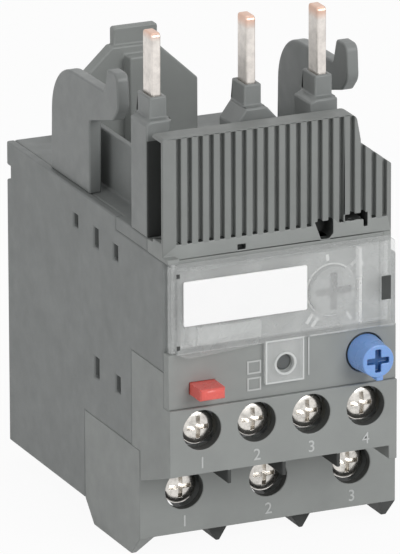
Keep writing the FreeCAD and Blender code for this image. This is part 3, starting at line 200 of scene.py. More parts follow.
def mesh_piece(name, work, material, body, angle=SHARP_ANGLE):
    """Turns a bmesh into a piece that rides on a body."""
    mesh = bpy.data.meshes.new(name)
    bmesh.ops.recalc_face_normals(work, faces=work.faces)
    work.to_mesh(mesh)
    work.free()
    smooth(mesh, angle)
    mesh.materials.append(material)
    piece = link(bpy.data.objects.new(name, mesh))
    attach(piece, body)
    return piece


def settle(piece):
    """Applies a piece's modifiers to its mesh."""
    graph = bpy.context.evaluated_depsgraph_get()
    mesh = bpy.data.meshes.new_from_object(piece.evaluated_get(graph))
    piece.modifiers.clear()
    piece.data = mesh


# shared corners in a CAD mesh are closer than this
MERGE = 0.002 * MM
# edges inside a rounding, or between two plain faces, are shaded smooth up to this angle
CREASE = math.radians(60)


def softened(node, edge, material, segments=2, where=None, cut_at=None):
    """A copy of a CAD node with rounded edges, which stands for the node.

    With a test of where, only the edges whose two ends pass it are rounded. A height to cut at
    splits the faces there, so that a part of them can take another material.
    """
    work = bmesh.new()
    work.from_mesh(FRAME["nodes"][node].data)
    bmesh.ops.remove_doubles(work, verts=work.verts, dist=MERGE)
    bmesh.ops.recalc_face_normals(work, faces=work.faces)
    corners = [line for line in work.edges
               if len(line.link_faces) == 2 and line.calc_face_angle() > SHARP_ANGLE
               and (where is None or all(where(vert.co) for vert in line.verts))]
    made = bmesh.ops.bevel(work, geom=corners, offset=edge, offset_type="OFFSET", segments=segments,
                           profile=0.5, affect="EDGES", clamp_overlap=False)
    strips = set(made["faces"])
    for face in work.faces:
        face.smooth = True
    for line in work.edges:
        sides = {face in strips for face in line.link_faces}
        line.smooth = len(sides) == 1 and line.calc_face_angle(0.0) < CREASE
    if cut_at is not None:
        whole = work.verts[:] + work.edges[:] + work.faces[:]
        bmesh.ops.bisect_plane(work, geom=whole, plane_co=(0.0, 0.0, cut_at), plane_no=(0.0, 0.0, 1.0))
    mesh = bpy.data.meshes.new(node + "_soft")
    work.to_mesh(mesh)
    work.free()
    mesh.materials.append(material)
    piece = link(bpy.data.objects.new(node + "_soft", mesh))
    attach(piece, body_of_node(node))
    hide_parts(node)
    return piece


def darken(piece, material, inside):
    """Paints shade: gives the faces whose middle passes the test another material, which stands in for the
    shade that falls there.
    """
    slots = piece.data.materials
    if material.name not in slots:
        slots.append(material)
    index = slots.find(material.name)
    for face in piece.data.polygons:
        if inside(face.center):
            face.material_index = index


def darken_round(piece, material, middle, front, back, reach):
    """Paints shade on the faces between two depths and within reach of an axis from front to back."""
    darken(piece, material, lambda point: front < point.y < back
           and math.hypot(point.x - middle.x, point.z - middle.z) < reach)


def dress(node, material):
    """Gives a CAD node that keeps its shape a material."""
    mesh = FRAME["nodes"][node].data
    mesh.materials.clear()
    mesh.materials.append(material)


def block(work, low, high):
    """Adds a box between two corners, in metres."""
    low, high = Vector(low), Vector(high)
    place = Matrix.Translation((low + high) / 2) @ Matrix.Diagonal((*(high - low), 1.0))
    return bmesh.ops.create_cube(work, size=1.0, matrix=place)["verts"]


def frame_lines(work, low, high, front, back):
    """Four bars along the edges of an upright rectangle; low and high are (across, up)."""
    wide = sizes().line
    block(work, (low[0], front, low[1]), (low[0] + wide, back, high[1]))
    block(work, (high[0] - wide, front, low[1]), (high[0], back, high[1]))
    block(work, (low[0] + wide, front, low[1]), (high[0] - wide, back, low[1] + wide))
    block(work, (low[0] + wide, front, high[1] - wide), (high[0] - wide, back, high[1]))


LATHE_STEPS = 48


def lathe(work, profile, centre):
    """Adds a solid of revolution about an axis from front to back.

    The profile's points are (radius, depth), with the depth measured back from the centre.
    """
    angles = [math.tau * step / LATHE_STEPS for step in range(LATHE_STEPS)]
    rings = []
    for radius, depth in profile:
        y = centre.y + depth
        if radius == 0.0:
            rings.append([work.verts.new((centre.x, y, centre.z))])
            continue
        rings.append([work.verts.new((centre.x + radius * math.cos(angle), y,
                                      centre.z + radius * math.sin(angle))) for angle in angles])
    for first, second in zip(rings, rings[1:]):
        for step in range(LATHE_STEPS):
            near = [first[step % len(first)], first[(step + 1) % len(first)]]
            far = [second[(step + 1) % len(second)], second[step % len(second)]]
            corners = list(dict.fromkeys(near + far))
            if len(corners) > 2:
                work.faces.new(corners)


def ring(work, inner, wide, centre):
    """Adds a raised ring that stands on a face through the centre."""
    outer = inner + wide
    relief = sizes().relief
    lathe(work, [(inner, 0.0), (inner, -relief), (outer, -relief), (outer, 0.0), (inner, 0.0)], centre)


# ---- materials -----------------------------------------------------------------------------

def base_material(name):
    """A node material with its Principled shader and the object's own coordinates."""
    material = bpy.data.materials.new(name)
    material.use_nodes = True
    nodes = material.node_tree.nodes
    shader = nodes["Principled BSDF"]
    coords = nodes.new("ShaderNodeTexCoord")
    return material, nodes, material.node_tree.links, shader, coords.outputs["Object"]


def noise(nodes, links, coords, scale, detail=3.0, rough=0.55):
    """A noise texture over an object's own coordinates, in cells to the metre."""
    texture = nodes.new("ShaderNodeTexNoise")
    texture.inputs["Scale"].default_value = scale
    texture.inputs["Detail"].default_value = detail
    texture.inputs["Roughness"].default_value = rough
    links.new(coords, texture.inputs["Vector"])
    return texture.outputs["Fac"]


def spread(nodes, links, value, low, high, at_low=0.3, at_high=0.7):
    """Maps the range between two levels of a value to another range."""
    mapped = nodes.new("ShaderNodeMapRange")
    mapped.inputs["From Min"].default_value = at_low
    mapped.inputs["From Max"].default_value = at_high
    mapped.inputs["To Min"].default_value = low
    mapped.inputs["To Max"].default_value = high
    links.new(value, mapped.inputs["Value"])
    return mapped.outputs["Result"]


def tint(nodes, links, factor, first, second):
    """Mixes two colours by a factor."""
    mix = nodes.new("ShaderNodeMix")
    mix.data_type = "RGBA"
    mix.inputs["A"].default_value = (*first, 1.0)
    mix.inputs["B"].default_value = (*second, 1.0)
    links.new(factor, mix.inputs["Factor"])
    return mix.outputs["Result"]


def shade(colour, factor):
    """A colour made lighter or darker."""
    return tuple(min(1.0, channel * factor) for channel in colour)


def add_bump(nodes, links, shader, height, strength, distance):
    """Raises the surface by a texture, without changing its mesh."""
    bump = nodes.new("ShaderNodeBump")
    bump.inputs["Strength"].default_value = strength
    bump.inputs["Distance"].default_value = distance
    links.new(height, bump.inputs["Height"])
    links.new(bump.outputs["Normal"], shader.inputs["Normal"])


def moulded_plastic(name, colour, rough=(0.42, 0.58), mottle=0.05, grain=0.16):
    """Moulded plastic: faint flow mottling, a fine eroded grain and uneven gloss."""
    material, nodes, links, shader, coords = base_material(name)
    cloudy = spread(nodes, links, noise(nodes, links, coords, scale=160.0), 0.0, 1.0)
    links.new(tint(nodes, links, cloudy, shade(colour, 1 - mottle), shade(colour, 1 + mottle)),
              shader.inputs["Base Color"])
    patchy = noise(nodes, links, coords, scale=420.0, detail=4.0)
    links.new(spread(nodes, links, patchy, *rough), shader.inputs["Roughness"])
    eroded = noise(nodes, links, coords, scale=5200.0, detail=2.0)
    add_bump(nodes, links, shader, eroded, grain, distance=0.06 * MM)
    shader.inputs["Specular IOR Level"].default_value = 0.42
    return material


def glossy_plastic(name, colour, rough=(0.2, 0.34)):
    """Smoother coloured plastic of the buttons, which lets a little light in."""
    material = moulded_plastic(name, colour, rough, mottle=0.04, grain=0.05)
    shader = material.node_tree.nodes["Principled BSDF"]
    shader.inputs["Subsurface Weight"].default_value = 0.12
    shader.inputs["Subsurface Scale"].default_value = 1.0 * MM
    return material


def clear_plastic(name, colour):
    """Clear moulded cover: slightly milky, with soft flow marks."""
    material, nodes, links, shader, coords = base_material(name)
    shader.inputs["Base Color"].default_value = (*colour, 1.0)
    shader.inputs["IOR"].default_value = 1.5
    milky = noise(nodes, links, coords, scale=240.0, detail=2.0)
    links.new(spread(nodes, links, milky, 0.22, 0.32), shader.inputs["Alpha"])
    patchy = noise(nodes, links, coords, scale=600.0)
    links.new(spread(nodes, links, patchy, 0.14, 0.3), shader.inputs["Roughness"])
    wavy = noise(nodes, links, coords, scale=900.0, detail=2.0)
    add_bump(nodes, links, shader, wavy, strength=0.12, distance=0.1 * MM)
    return material


def clear_edge(name, colour):
    """The cover's ribs and outlines, drawn more opaque than its skin as a painted highlight for the light
    that they catch.
    """
    material = clear_plastic(name, colour)
    shader = material.node_tree.nodes["Principled BSDF"]
    material.node_tree.links.remove(shader.inputs["Alpha"].links[0])
    shader.inputs["Alpha"].default_value = 0.5
    return material


# width of the scratches as a share of their length, which runs along Z
SCRATCH_STRETCH = 0.12


def plated_metal(name, colour, rough=(0.16, 0.34), wear=None, scratch=5600.0):
    """Plated metal: fine scratches, dull patches, and the base metal where it is worn."""
    material, nodes, links, shader, coords = base_material(name)
    shader.inputs["Metallic"].default_value = 1.0
    dull = noise(nodes, links, coords, scale=700.0, detail=5.0, rough=0.65)
    worn = spread(nodes, links, dull, 0.0, 1.0, at_low=0.42, at_high=0.68)
    links.new(tint(nodes, links, worn, colour, wear or shade(colour, 0.8)),
              shader.inputs["Base Color"])
    patchy = noise(nodes, links, coords, scale=1100.0, detail=4.0)
    links.new(spread(nodes, links, patchy, *rough), shader.inputs["Roughness"])
    stretch = nodes.new("ShaderNodeMapping")
    stretch.inputs["Scale"].default_value = (1.0, 1.0, SCRATCH_STRETCH)
    links.new(coords, stretch.inputs["Vector"])
    fine = noise(nodes, links, stretch.outputs["Vector"], scratch)
    add_bump(nodes, links, shader, fine, strength=0.2, distance=0.03 * MM)
    return material


# how far below a pin's tip its copper starts to show and shows most, and how much then
COPPER_START = 1.3 * MM
COPPER_FULL = 0.1 * MM
COPPER_SHARE = 0.6


def pin_metal(name, plating, copper, top):
    """Silvered copper that shows its copper towards the pins' tips."""
    material = plated_metal(name, plating, (0.28, 0.42))
    nodes = material.node_tree.nodes
    links = material.node_tree.links
    shader = nodes["Principled BSDF"]
    coords = next(node for node in nodes if node.type == "TEX_COORD").outputs["Object"]
    split = nodes.new("ShaderNodeSeparateXYZ")
    links.new(coords, split.inputs["Vector"])
    height = spread(nodes, links, split.outputs["Z"], 0.0, COPPER_SHARE,
                    at_low=top - COPPER_START, at_high=top - COPPER_FULL)
    mix = nodes.new("ShaderNodeMix")
    mix.data_type = "RGBA"
    mix.inputs["B"].default_value = (*copper, 1.0)
    links.new(shader.inputs["Base Color"].links[0].from_socket, mix.inputs["A"])
    links.new(height, mix.inputs["Factor"])
    links.new(mix.outputs["Result"], shader.inputs["Base Color"])
    return material


MATERIALS = {}


def finishes():
    """All materials, made once from the panel's colours."""
    if MATERIALS:
        return MATERIALS
    tone = colours()
    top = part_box("line_pin_1")[1].z
    MATERIALS.update(
        front=moulded_plastic("front_grey_plastic", tone.front),
        side=moulded_plastic("side_grey_plastic", tone.side, (0.46, 0.62)),
        hook=moulded_plastic("hook_grey_plastic", tone.hook, (0.36, 0.5), 0.06, 0.1),
        inner=moulded_plastic("natural_inner_plastic", tone.inner, (0.35, 0.5)),
        test=glossy_plastic("dark_plunger_plastic", tone.test, (0.3, 0.45)),
        stop=glossy_plastic("red_button_plastic", tone.stop),
        reset=glossy_plastic("blue_knob_plastic", tone.reset),
        clear=clear_plastic("clear_cover_plastic", tone.clear),
        # painted highlight: the clear plastic made more opaque for the cover's ribs, pane and outlines
        clear_edge=clear_edge("clear_cover_painted_highlight", tone.clear),
        label=moulded_plastic("white_label_stock", tone.label, (0.3, 0.4), 0.01, 0.03),
        dial=moulded_plastic("grey_dial_plastic", tone.dial, (0.3, 0.45), 0.03, 0.06),
        # print on the dial's scale, and a painted highlight on the rib beside the dial
        scale=moulded_plastic("scale_print_and_painted_highlight", tone.scale, (0.4, 0.5), 0.02, 0.04),
        # painted shade: the front grey made darker, for the shade among the ribs
        rib=moulded_plastic("rib_painted_shade", shade(tone.front, 0.8)),
        # painted shade for the openings, wells, teeth, gaps and the sleeves' fronts
        recess=moulded_plastic("painted_recess_shade", tone.recess, (0.6, 0.75), 0.08, 0.1),
        # painted shade: a darker blue for the knob's cross
        reset_deep=glossy_plastic("knob_cross_painted_shade", tone.reset_deep),
        mark=moulded_plastic("pale_relief_plastic", tone.mark, (0.4, 0.55), 0.08, 0.1),
        nickel=plated_metal("nickel_screw_plating", tone.nickel, (0.12, 0.3),
                            wear=shade(tone.nickel, 0.62)),
        zinc=plated_metal("zinc_pressed_steel", tone.zinc, (0.3, 0.45)),
        spring=plated_metal("drawn_spring_steel", shade(tone.zinc, 0.7), (0.2, 0.35)),
        pin=pin_metal("silvered_copper", tone.silver, tone.copper, top),
        brass=plated_metal("stamped_brass", tone.brass, (0.25, 0.4)),
        bimetal=plated_metal("rolled_bimetal", tone.bimetal, (0.3, 0.5), scratch=3600.0),
        heater=plated_metal("oxidised_heater_wire", tone.heater, (0.45, 0.65)),
    )
    return MATERIALS


# ---- operators -----------------------------------------------------------------------------

class RELAY_OT_casing(Operator):
    """Side shells, housing and the two terminal blocks with their moulded edges"""

    bl_idname = "relay.casing"
    bl_label = "Casing"

    # the control block takes painted shade below this drop from the main block's top, between its cheeks
    LIP_DROP = 0.9 * MM
    CHEEK = 1.6 * MM
    # the main block's teeth take painted shade from here to the right, in terminal pitches from the middle
    FIRST_TOOTH = -0.8
    # a well's bright rim, and the room between a screw's head and the well's wall
    WELL_RIM = 0.25 * MM
    WELL_ROOM = 0.6 * MM

    def execute(self, context):
        kit = finishes()
        size = sizes()
        for node in ("left_side_shell", "right_side_shell", "main_housing"):
            softened(node, size.edge, kit["side"])
        low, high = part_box("aux_terminal_block")
        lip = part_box("main_terminal_block")[1].z - self.LIP_DROP
        control = softened("aux_terminal_block", size.fine_edge, kit["front"], cut_at=lip)
        # painted shade: faces of the control block below the lip and between its cheeks take the dark grey
        darken(control, kit["recess"], lambda point: point.z < lip
               and low.x + self.CHEEK < point.x < high.x - self.CHEEK)
        self.shade_wells(control, "aux", CONTROLS)
        mains = softened("main_terminal_block", size.fine_edge, kit["front"])
        pitch = middle_of("main_screw_3").x - middle_of("main_screw_2").x
        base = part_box("left_side_shell")[0].z
        # painted shade on the main block's teeth, which lie in shade under its front wall
        darken(mains, kit["recess"],
               lambda point: point.z < base and point.x > self.FIRST_TOOTH * pitch)
        self.shade_wells(mains, "main", POLES)
        return {"FINISHED"}

    def shade_wells(self, piece, kind, numbers):
        """Paints shade on the walls of the wells round a block's screw heads."""
        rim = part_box(f"{kind}_terminal_block")[0].y + self.WELL_RIM
        for number in numbers:
            low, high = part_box(f"{kind}_screw_{number}")
            middle = (low + high) / 2
            reach = (high.x - low.x) / 2 + self.WELL_ROOM
            darken_round(piece, finishes()["recess"], middle, rim, middle.y, reach)


class RELAY_OT_ribbed_cover(Operator):
    """The ribbed front cover and its bare name strip"""

    bl_idname = "relay.ribbed_cover"
    bl_label = "Ribbed cover"

    # the ribbed part, which takes a darker copy of the front grey as painted shade, starts this far above
    # the sleeves' feet
    RIB_FOOT = 1.0 * MM
    # the recesses at the ribs' feet, which take painted shade: their depths from the side shells' front,
    # and their ends
    SKIN = 0.25 * MM
    DEPTH = 4.4 * MM
    LEFT_INSET = 3.0 * MM
    RIGHT_INSET = 1.5 * MM
    HALF_HEIGHT = 2.4 * MM

    def execute(self, context):
        kit = finishes()
        cover = softened("front_cover", sizes().fine_edge, kit["front"])
        low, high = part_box("front_cover")
        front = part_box("left_side_shell")[0].y
        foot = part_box("pin_sleeve_1")[0].z
        # painted shade: the ribbed part takes the front grey made darker
        darken(cover, kit["rib"], lambda point: point.z > foot + self.RIB_FOOT)
        # painted shade in the recesses at the ribs' feet
        darken(cover, kit["recess"], lambda point: front + self.SKIN < point.y < front + self.DEPTH
               and low.x + self.LEFT_INSET < point.x < high.x - self.RIGHT_INSET
               and abs(point.z - foot) < self.HALF_HEIGHT)
        return {"FINISHED"}


class RELAY_OT_face(Operator):
    """The face plate with its dial scale, raised lines and two plain squares"""

    bl_idname = "relay.face"
    bl_label = "Face plate"

    # the corner of raised lines to the right of the test plunger: its gap, width and height
    CORNER_GAP = 2.5 * MM
    CORNER_SIZE = (7.0 * MM, 6.6 * MM)
    # the two squares to the right of the stop button, and their feet above its middle
    SQUARE_GAP = 5.6 * MM
    SQUARE_SIZE = (2.4 * MM, 2.2 * MM)
    SQUARE_FEET = (0.95 * MM, -1.85 * MM)
    # the scale's depth behind the plate's front, the dial's hidden flange, and the ring round it
    SCALE_DEPTH = 1.7 * MM
    FLANGE = 0.8 * MM
    RING_INSET = 0.65 * MM
    RING_WIDTH = 0.25 * MM
    # each mark's degrees clockwise from the top, length in ticks, and the sides that have a bar
    MARKS = ((-7, 0.8, (0,)), (51, 1.4, (-1, 1)), (147, 1.2, (0,)), (215, 1.4, (-1, 1)))
    # from a mark's middle to each bar of a pair, in widths of a line
    PAIR_OFFSET = 2.2

    def execute(self, context):
        kit = finishes()
        size = sizes()
        softened("face_plate", size.fine_edge, kit["front"])
        self.dial_scale(kit["scale"])
        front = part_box("face_plate")[0].y
        raised = front - size.relief
        work = bmesh.new()
        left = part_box("test_plunger")[1].x + self.CORNER_GAP
        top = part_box("label_plate")[0].z - BELOW_LABEL
        wide, tall = self.CORNER_SIZE
        block(work, (left, raised, top - tall), (left + size.line, front, top))
        block(work, (left, raised, top - size.line), (left + wide, front, top))
        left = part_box("stop_button")[1].x + self.SQUARE_GAP
        wide, tall = self.SQUARE_SIZE
        for foot in self.SQUARE_FEET:
            low = middle_of("stop_button").z + foot
            frame_lines(work, (left, low), (left + wide, low + tall), raised, front)
        mesh_piece("face_lines", work, kit["mark"], "relay")
        return {"FINISHED"}

    def dial_scale(self, material):
        """White marks round the dial, two of them as longer pairs of bars, and a ring."""
        size = sizes()
        low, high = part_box("setting_dial")
        middle = (low + high) / 2
        centre = Vector((middle.x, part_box("face_plate")[0].y + self.SCALE_DEPTH, middle.z))
        radius = (high.x - low.x) / 2
        start = radius - self.FLANGE + size.gap
        work = bmesh.new()
        for degrees, ticks, sides in self.MARKS:
            turn = Matrix.Translation(centre) @ Matrix.Rotation(math.radians(degrees), 4, "Y")
            for side in sides:
                across = self.PAIR_OFFSET * side * size.line
                bar = block(work, (across - size.line, -size.relief, start),
                            (across + size.line, 0.0, start + ticks * size.tick))
                bmesh.ops.transform(work, matrix=turn, verts=bar)
        ring(work, radius - self.RING_INSET, self.RING_WIDTH, centre)
        mesh_piece("dial_scale", work, material, "relay")


class RELAY_OT_clear_cover(Operator):
    """The clear hinged cover with its ribs and outlines, and the blank label on it"""

    bl_idname = "relay.clear_cover"
    bl_label = "Clear cover"

    LABEL_EDGE = 0.08 * MM
    # the skin behind the label, and the room above the label
    SKIN = 0.8 * MM
    ABOVE_LABEL = 2.2 * MM
    # ribs behind the skin: their width, and how far they stay from the cover's lower and upper edge
    RIB_WIDTH = 0.5 * MM
    RIB_FOOT = 0.9 * MM
    RIB_HEAD = 1.0 * MM
    # the divider behind the label's left end
    DIVIDER_INSET = 2.0 * MM
    DIVIDER_DEPTH = 1.4 * MM
    # the pane below the label, between the divider and the test plunger
    PANE_START = 2.9 * MM
    PANE_END = 2.0 * MM
    PANE_DROP = 0.9 * MM
    PANE_DEPTH = 0.5 * MM
    # the rib beside the dial, painted white as a painted highlight, from the label
    BRIGHT_GAP = 9.5 * MM
    BRIGHT_DEPTH = 1.2 * MM
    # points this near the cover's front lie on it
    FLAT = 0.01 * MM
    # the test flap's rise over its plunger, and the ring, which reaches over the plunger's edge
    FLAP_TOP = 2.3 * MM
    RING_OVERLAP = 0.25 * MM
    RING_WIDTH = 0.35 * MM
    # the painted shade of the seal slot beside the dial, from the cover's right end and the label's back
    SLOT_START = 2.4 * MM
    SLOT_END = 0.8 * MM
    SLOT_FRONT = 0.32 * MM
    SLOT_BACK = 0.2 * MM
    SLOT_HALF_HEIGHT = 1.95 * MM
    # the painted shade of the gaps at the hinge's two ends, from the label and from the cover's edges
    HINGE_START = 1.1 * MM
    HINGE_END = 0.55 * MM
    HINGE_FRONT = 0.02 * MM
    HINGE_BACK = 0.05 * MM
    HINGE_INSET = 1.2 * MM
    HINGE_HALF_HEIGHT = 0.35 * MM

    def execute(self, context):
        kit = finishes()
        softened("clear_cover", sizes().fine_edge, kit["clear"])
        softened("label_plate", self.LABEL_EDGE, kit["label"])
        low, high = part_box("label_plate")
        bottom = low.z - BELOW_LABEL
        top = high.z + self.ABOVE_LABEL
        self.ribs(bottom, top)
        self.flap_outline(high.y)
        self.shaded_gaps(bottom, top)
        return {"FINISHED"}

    def ribs(self, bottom, top):
        """Behind the skin: a divider, a pane below the label and a rib beside the dial; the divider and
        pane are drawn more opaque, and the rib white, as painted highlights.
        """
        low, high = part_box("label_plate")
        back = high.y + self.SKIN
        foot = bottom + self.RIB_FOOT
        left = low.x + self.DIVIDER_INSET
        work = bmesh.new()
        block(work, (left, back, foot), (left + self.RIB_WIDTH, back + self.DIVIDER_DEPTH, low.z))
        block(work, (low.x + self.PANE_START, back, foot),
              (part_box("test_plunger")[0].x - self.PANE_END, back + self.PANE_DEPTH,
               low.z - self.PANE_DROP))
        mesh_piece("cover_ribs", work, finishes()["clear_edge"], "cover")
        left = high.x + self.BRIGHT_GAP
        work = bmesh.new()
        block(work, (left, back, foot),
              (left + self.RIB_WIDTH, back + self.BRIGHT_DEPTH, top - self.RIB_HEAD))
        # painted highlight: the rib takes the scale's white
        mesh_piece("cover_rib_painted_highlight", work, finishes()["scale"], "cover")

    def flap_outline(self, skin):
        """On the skin: the test flap's outline and the ring round its hole, drawn more opaque as a painted
        highlight.
        """
        low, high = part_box("test_plunger")
        flap = [vert.co for vert in FRAME["nodes"]["clear_cover"].data.vertices
                if abs(vert.co.y - skin) < self.FLAT and vert.co.z < low.z]
        work = bmesh.new()
        frame_lines(work, (min(point.x for point in flap), min(point.z for point in flap)),
                    (max(point.x for point in flap), high.z + self.FLAP_TOP),
                    skin - sizes().relief, skin)
        middle = (low + high) / 2
        ring(work, (high.x - low.x) / 2 - self.RING_OVERLAP, self.RING_WIDTH,
             Vector((middle.x, skin, middle.z)))
        mesh_piece("flap_outline", work, finishes()["clear_edge"], "cover")

    def shaded_gaps(self, bottom, top):
        """Painted shade: dark blocks on the skin where the seal slot and the gaps at the hinge's ends lie
        in shade.
        """
        low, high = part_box("label_plate")
        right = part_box("clear_cover")[1].x
        middle = middle_of("setting_dial").z
        work = bmesh.new()
        block(work, (right - self.SLOT_START, high.y - self.SLOT_FRONT, middle - self.SLOT_HALF_HEIGHT),
              (right - self.SLOT_END, high.y - self.SLOT_BACK, middle + self.SLOT_HALF_HEIGHT))
        for height in (bottom + self.HINGE_INSET, top - self.HINGE_INSET):
            block(work, (low.x - self.HINGE_START, high.y - self.HINGE_FRONT,
                         height - self.HINGE_HALF_HEIGHT),
                  (low.x - self.HINGE_END, high.y + self.HINGE_BACK, height + self.HINGE_HALF_HEIGHT))
        mesh_piece("cover_painted_shade", work, finishes()["recess"], "cover")


class RELAY_OT_dial(Operator):
    """The setting dial and the lever behind it"""

    bl_idname = "relay.dial"
    bl_label = "Setting dial"

    # the cross, which takes painted shade: from and to this depth behind the dial's front, and its reach
    CROSS_START = 0.15 * MM
    CROSS_END = 1.0 * MM
    CROSS_REACH = 3.3 * MM

    def execute(self, context):
        kit = finishes()
        dial = softened("setting_dial", sizes().fine_edge, kit["dial"])
        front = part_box("setting_dial")[0].y
        # painted shade in the dial's cross
        darken_round(dial, kit["recess"], middle_of("setting_dial"), front + self.CROSS_START,
                     front + self.CROSS_END, self.CROSS_REACH)
        dress("adjusting_lever", kit["inner"])
        return {"FINISHED"}


class RELAY_OT_buttons(Operator):
    """Stop button, test plunger, reset knob and their return springs"""

    bl_idname = "relay.buttons"
    bl_label = "Buttons"

    # only the stop button's head has its wide rounding
    HEAD_DEPTH = 2.0 * MM
    HEAD_EDGE = 0.6 * MM
    BUTTON_EDGE = 0.2 * MM
    # the knob's cross, which takes a darker blue as painted shade: from and to this depth behind its front,
    # and its reach
    CROSS_START = 0.25 * MM
    CROSS_END = 1.3 * MM
    CROSS_REACH = 2.0 * MM

    def execute(self, context):
        kit = finishes()
        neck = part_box("stop_button")[0].y + self.HEAD_DEPTH
        softened("stop_button", self.HEAD_EDGE, kit["stop"], segments=4,
                 where=lambda point: point.y < neck)
        softened("test_plunger", self.BUTTON_EDGE, kit["test"])
        knob = softened("reset_knob", self.BUTTON_EDGE, kit["reset"], segments=3)
        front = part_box("reset_knob")[0].y
        # painted shade: a darker blue in the knob's cross
        darken_round(knob, kit["reset_deep"], middle_of("reset_stem"), front + self.CROSS_START,
                     front + self.CROSS_END, self.CROSS_REACH)
        dress("reset_stem", kit["inner"])
        for name in ("stop", "test", "reset"):
            self.spring(name, kit["spring"])
        return {"FINISHED"}

    def spring(self, name, material):
        """A return spring between its button and the lug behind it, as a smooth-shaded copy that rides on
        the relay.
        """
        node = name + "_spring"
        mesh = FRAME["nodes"][node].data.copy()
        mesh.materials.clear()
        mesh.materials.append(material)
        smooth(mesh)
        piece = link(bpy.data.objects.new(node + "_coil", mesh))
        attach(piece, "relay")
        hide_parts(node)
        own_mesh(piece)


# ---- terminal screws -----------------------------------------------------------------------

HEAD_STEPS = 8
HEAD_CHAMFER = 0.15 * MM
THREAD_PITCH = 0.55 * MM
THREAD_DEPTH = 0.22 * MM
# the thread's profile as shares of its pitch: where its groove starts and is deepest
THREAD_GROOVE = (0.1, 0.55)
TIP_CHAMFER = 0.3 * MM
CROSS_HALF_WIDTH = 0.42 * MM
CROSS_DEPTH = 1.15 * MM
# the cross's length as a share of the head's, and its floor as a share of its mouth
CROSS_SHARE = 0.74
CROSS_TAPER = 0.72
CUT_EDGE = 0.07 * MM


def screw_profile(head_radius, head_thick, shank_radius, length):
    """The outline of a screw, as (radius, depth) from its head's middle to its tip."""
    dome = sizes().dome
    profile = [(0.0, 0.0)]
    for step in range(1, HEAD_STEPS + 1):
        angle = step / HEAD_STEPS * math.pi / 2
        profile.append((head_radius * math.sin(angle), dome * (1 - math.cos(angle))))
    profile += [(head_radius, head_thick - HEAD_CHAMFER), (head_radius - HEAD_CHAMFER, head_thick),
                (shank_radius, head_thick)]
    lip, root = THREAD_GROOVE
    for turn in range(int((length - head_thick) / THREAD_PITCH)):
        start = head_thick + turn * THREAD_PITCH
        profile += [(shank_radius, start + lip * THREAD_PITCH),
                    (shank_radius - THREAD_DEPTH, start + root * THREAD_PITCH),
                    (shank_radius, start + THREAD_PITCH)]
    return profile + [(shank_radius - TIP_CHAMFER, length), (0.0, length)]


def cross_cutter(centre, reach):
    """Two tapered bars that cut the cross into a screw's head."""
    work = bmesh.new()
    for wide, tall in ((reach, CROSS_HALF_WIDTH), (CROSS_HALF_WIDTH, reach)):
        bar = block(work, (centre.x - wide, centre.y - MM, centre.z - tall),
                    (centre.x + wide, centre.y + CROSS_DEPTH, centre.z + tall))
        for vert in bar:
            if vert.co.y > centre.y:
                vert.co.x = centre.x + (vert.co.x - centre.x) * CROSS_TAPER
                vert.co.z = centre.z + (vert.co.z - centre.z) * CROSS_TAPER
    mesh = bpy.data.meshes.new("cross")
    work.to_mesh(mesh)
    work.free()
    return link(bpy.data.objects.new("cross", mesh))


def screw(node, head_thick, shank_radius, material):
    """A domed cross-head screw with a threaded shank, in the CAD screw's place."""
    low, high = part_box(node)
    centre = Vector(((low.x + high.x) / 2, low.y, (low.z + high.z) / 2))
    head_radius = (high.x - low.x) / 2
    work = bmesh.new()
    lathe(work, screw_profile(head_radius, head_thick, shank_radius, high.y - low.y), centre)
    piece = mesh_piece(node + "_turned", work, material, body_of_node(node), SCREW_ANGLE)
    cutter = cross_cutter(centre, head_radius * CROSS_SHARE)
    recess = piece.modifiers.new("Cross", "BOOLEAN")
    recess.operation = "DIFFERENCE"
    recess.solver = "EXACT"
    recess.use_self = True
    recess.object = cutter
    settle(piece)
    bpy.data.objects.remove(cutter)
    smooth(piece.data, SCREW_ANGLE)
    rounding = piece.modifiers.new("Edges", "BEVEL")
    rounding.width = CUT_EDGE
    rounding.segments = 2
    rounding.limit_method = "ANGLE"
    rounding.angle_limit = SCREW_ANGLE
    rounding.harden_normals = True
    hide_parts(node)


class RELAY_OT_screws(Operator):
    """The seven terminal screws"""

    bl_idname = "relay.screws"
    bl_label = "Terminal screws"

    # thickness of the head and radius of the shank
    MAIN_SCREW = (2.2 * MM, 1.75 * MM)
    AUX_SCREW = (1.6 * MM, 1.5 * MM)

    def execute(self, context):
        kit = finishes()
        for number in POLES:
            screw(f"main_screw_{number}", *self.MAIN_SCREW, kit["nickel"])
        for number in CONTROLS:
            screw(f"aux_screw_{number}", *self.AUX_SCREW, kit["nickel"])
        return {"FINISHED"}


class RELAY_OT_terminals(Operator):
    """Wire cages, clamps, output plates and contact strips"""

    bl_idname = "relay.terminals"
    bl_label = "Terminals"

    CAGE_EDGE = 0.15 * MM
    CLAMP_EDGE = 0.12 * MM

    def execute(self, context):
        kit = finishes()
        for number in POLES:
            softened(f"wire_cage_{number}", self.CAGE_EDGE, kit["zinc"])
            dress(f"output_plate_{number}", kit["pin"])
        for number in CONTROLS:
            softened(f"aux_clamp_{number}", self.CLAMP_EDGE, kit["zinc"])
            dress(f"contact_strip_{number}", kit["brass"])
        return {"FINISHED"}


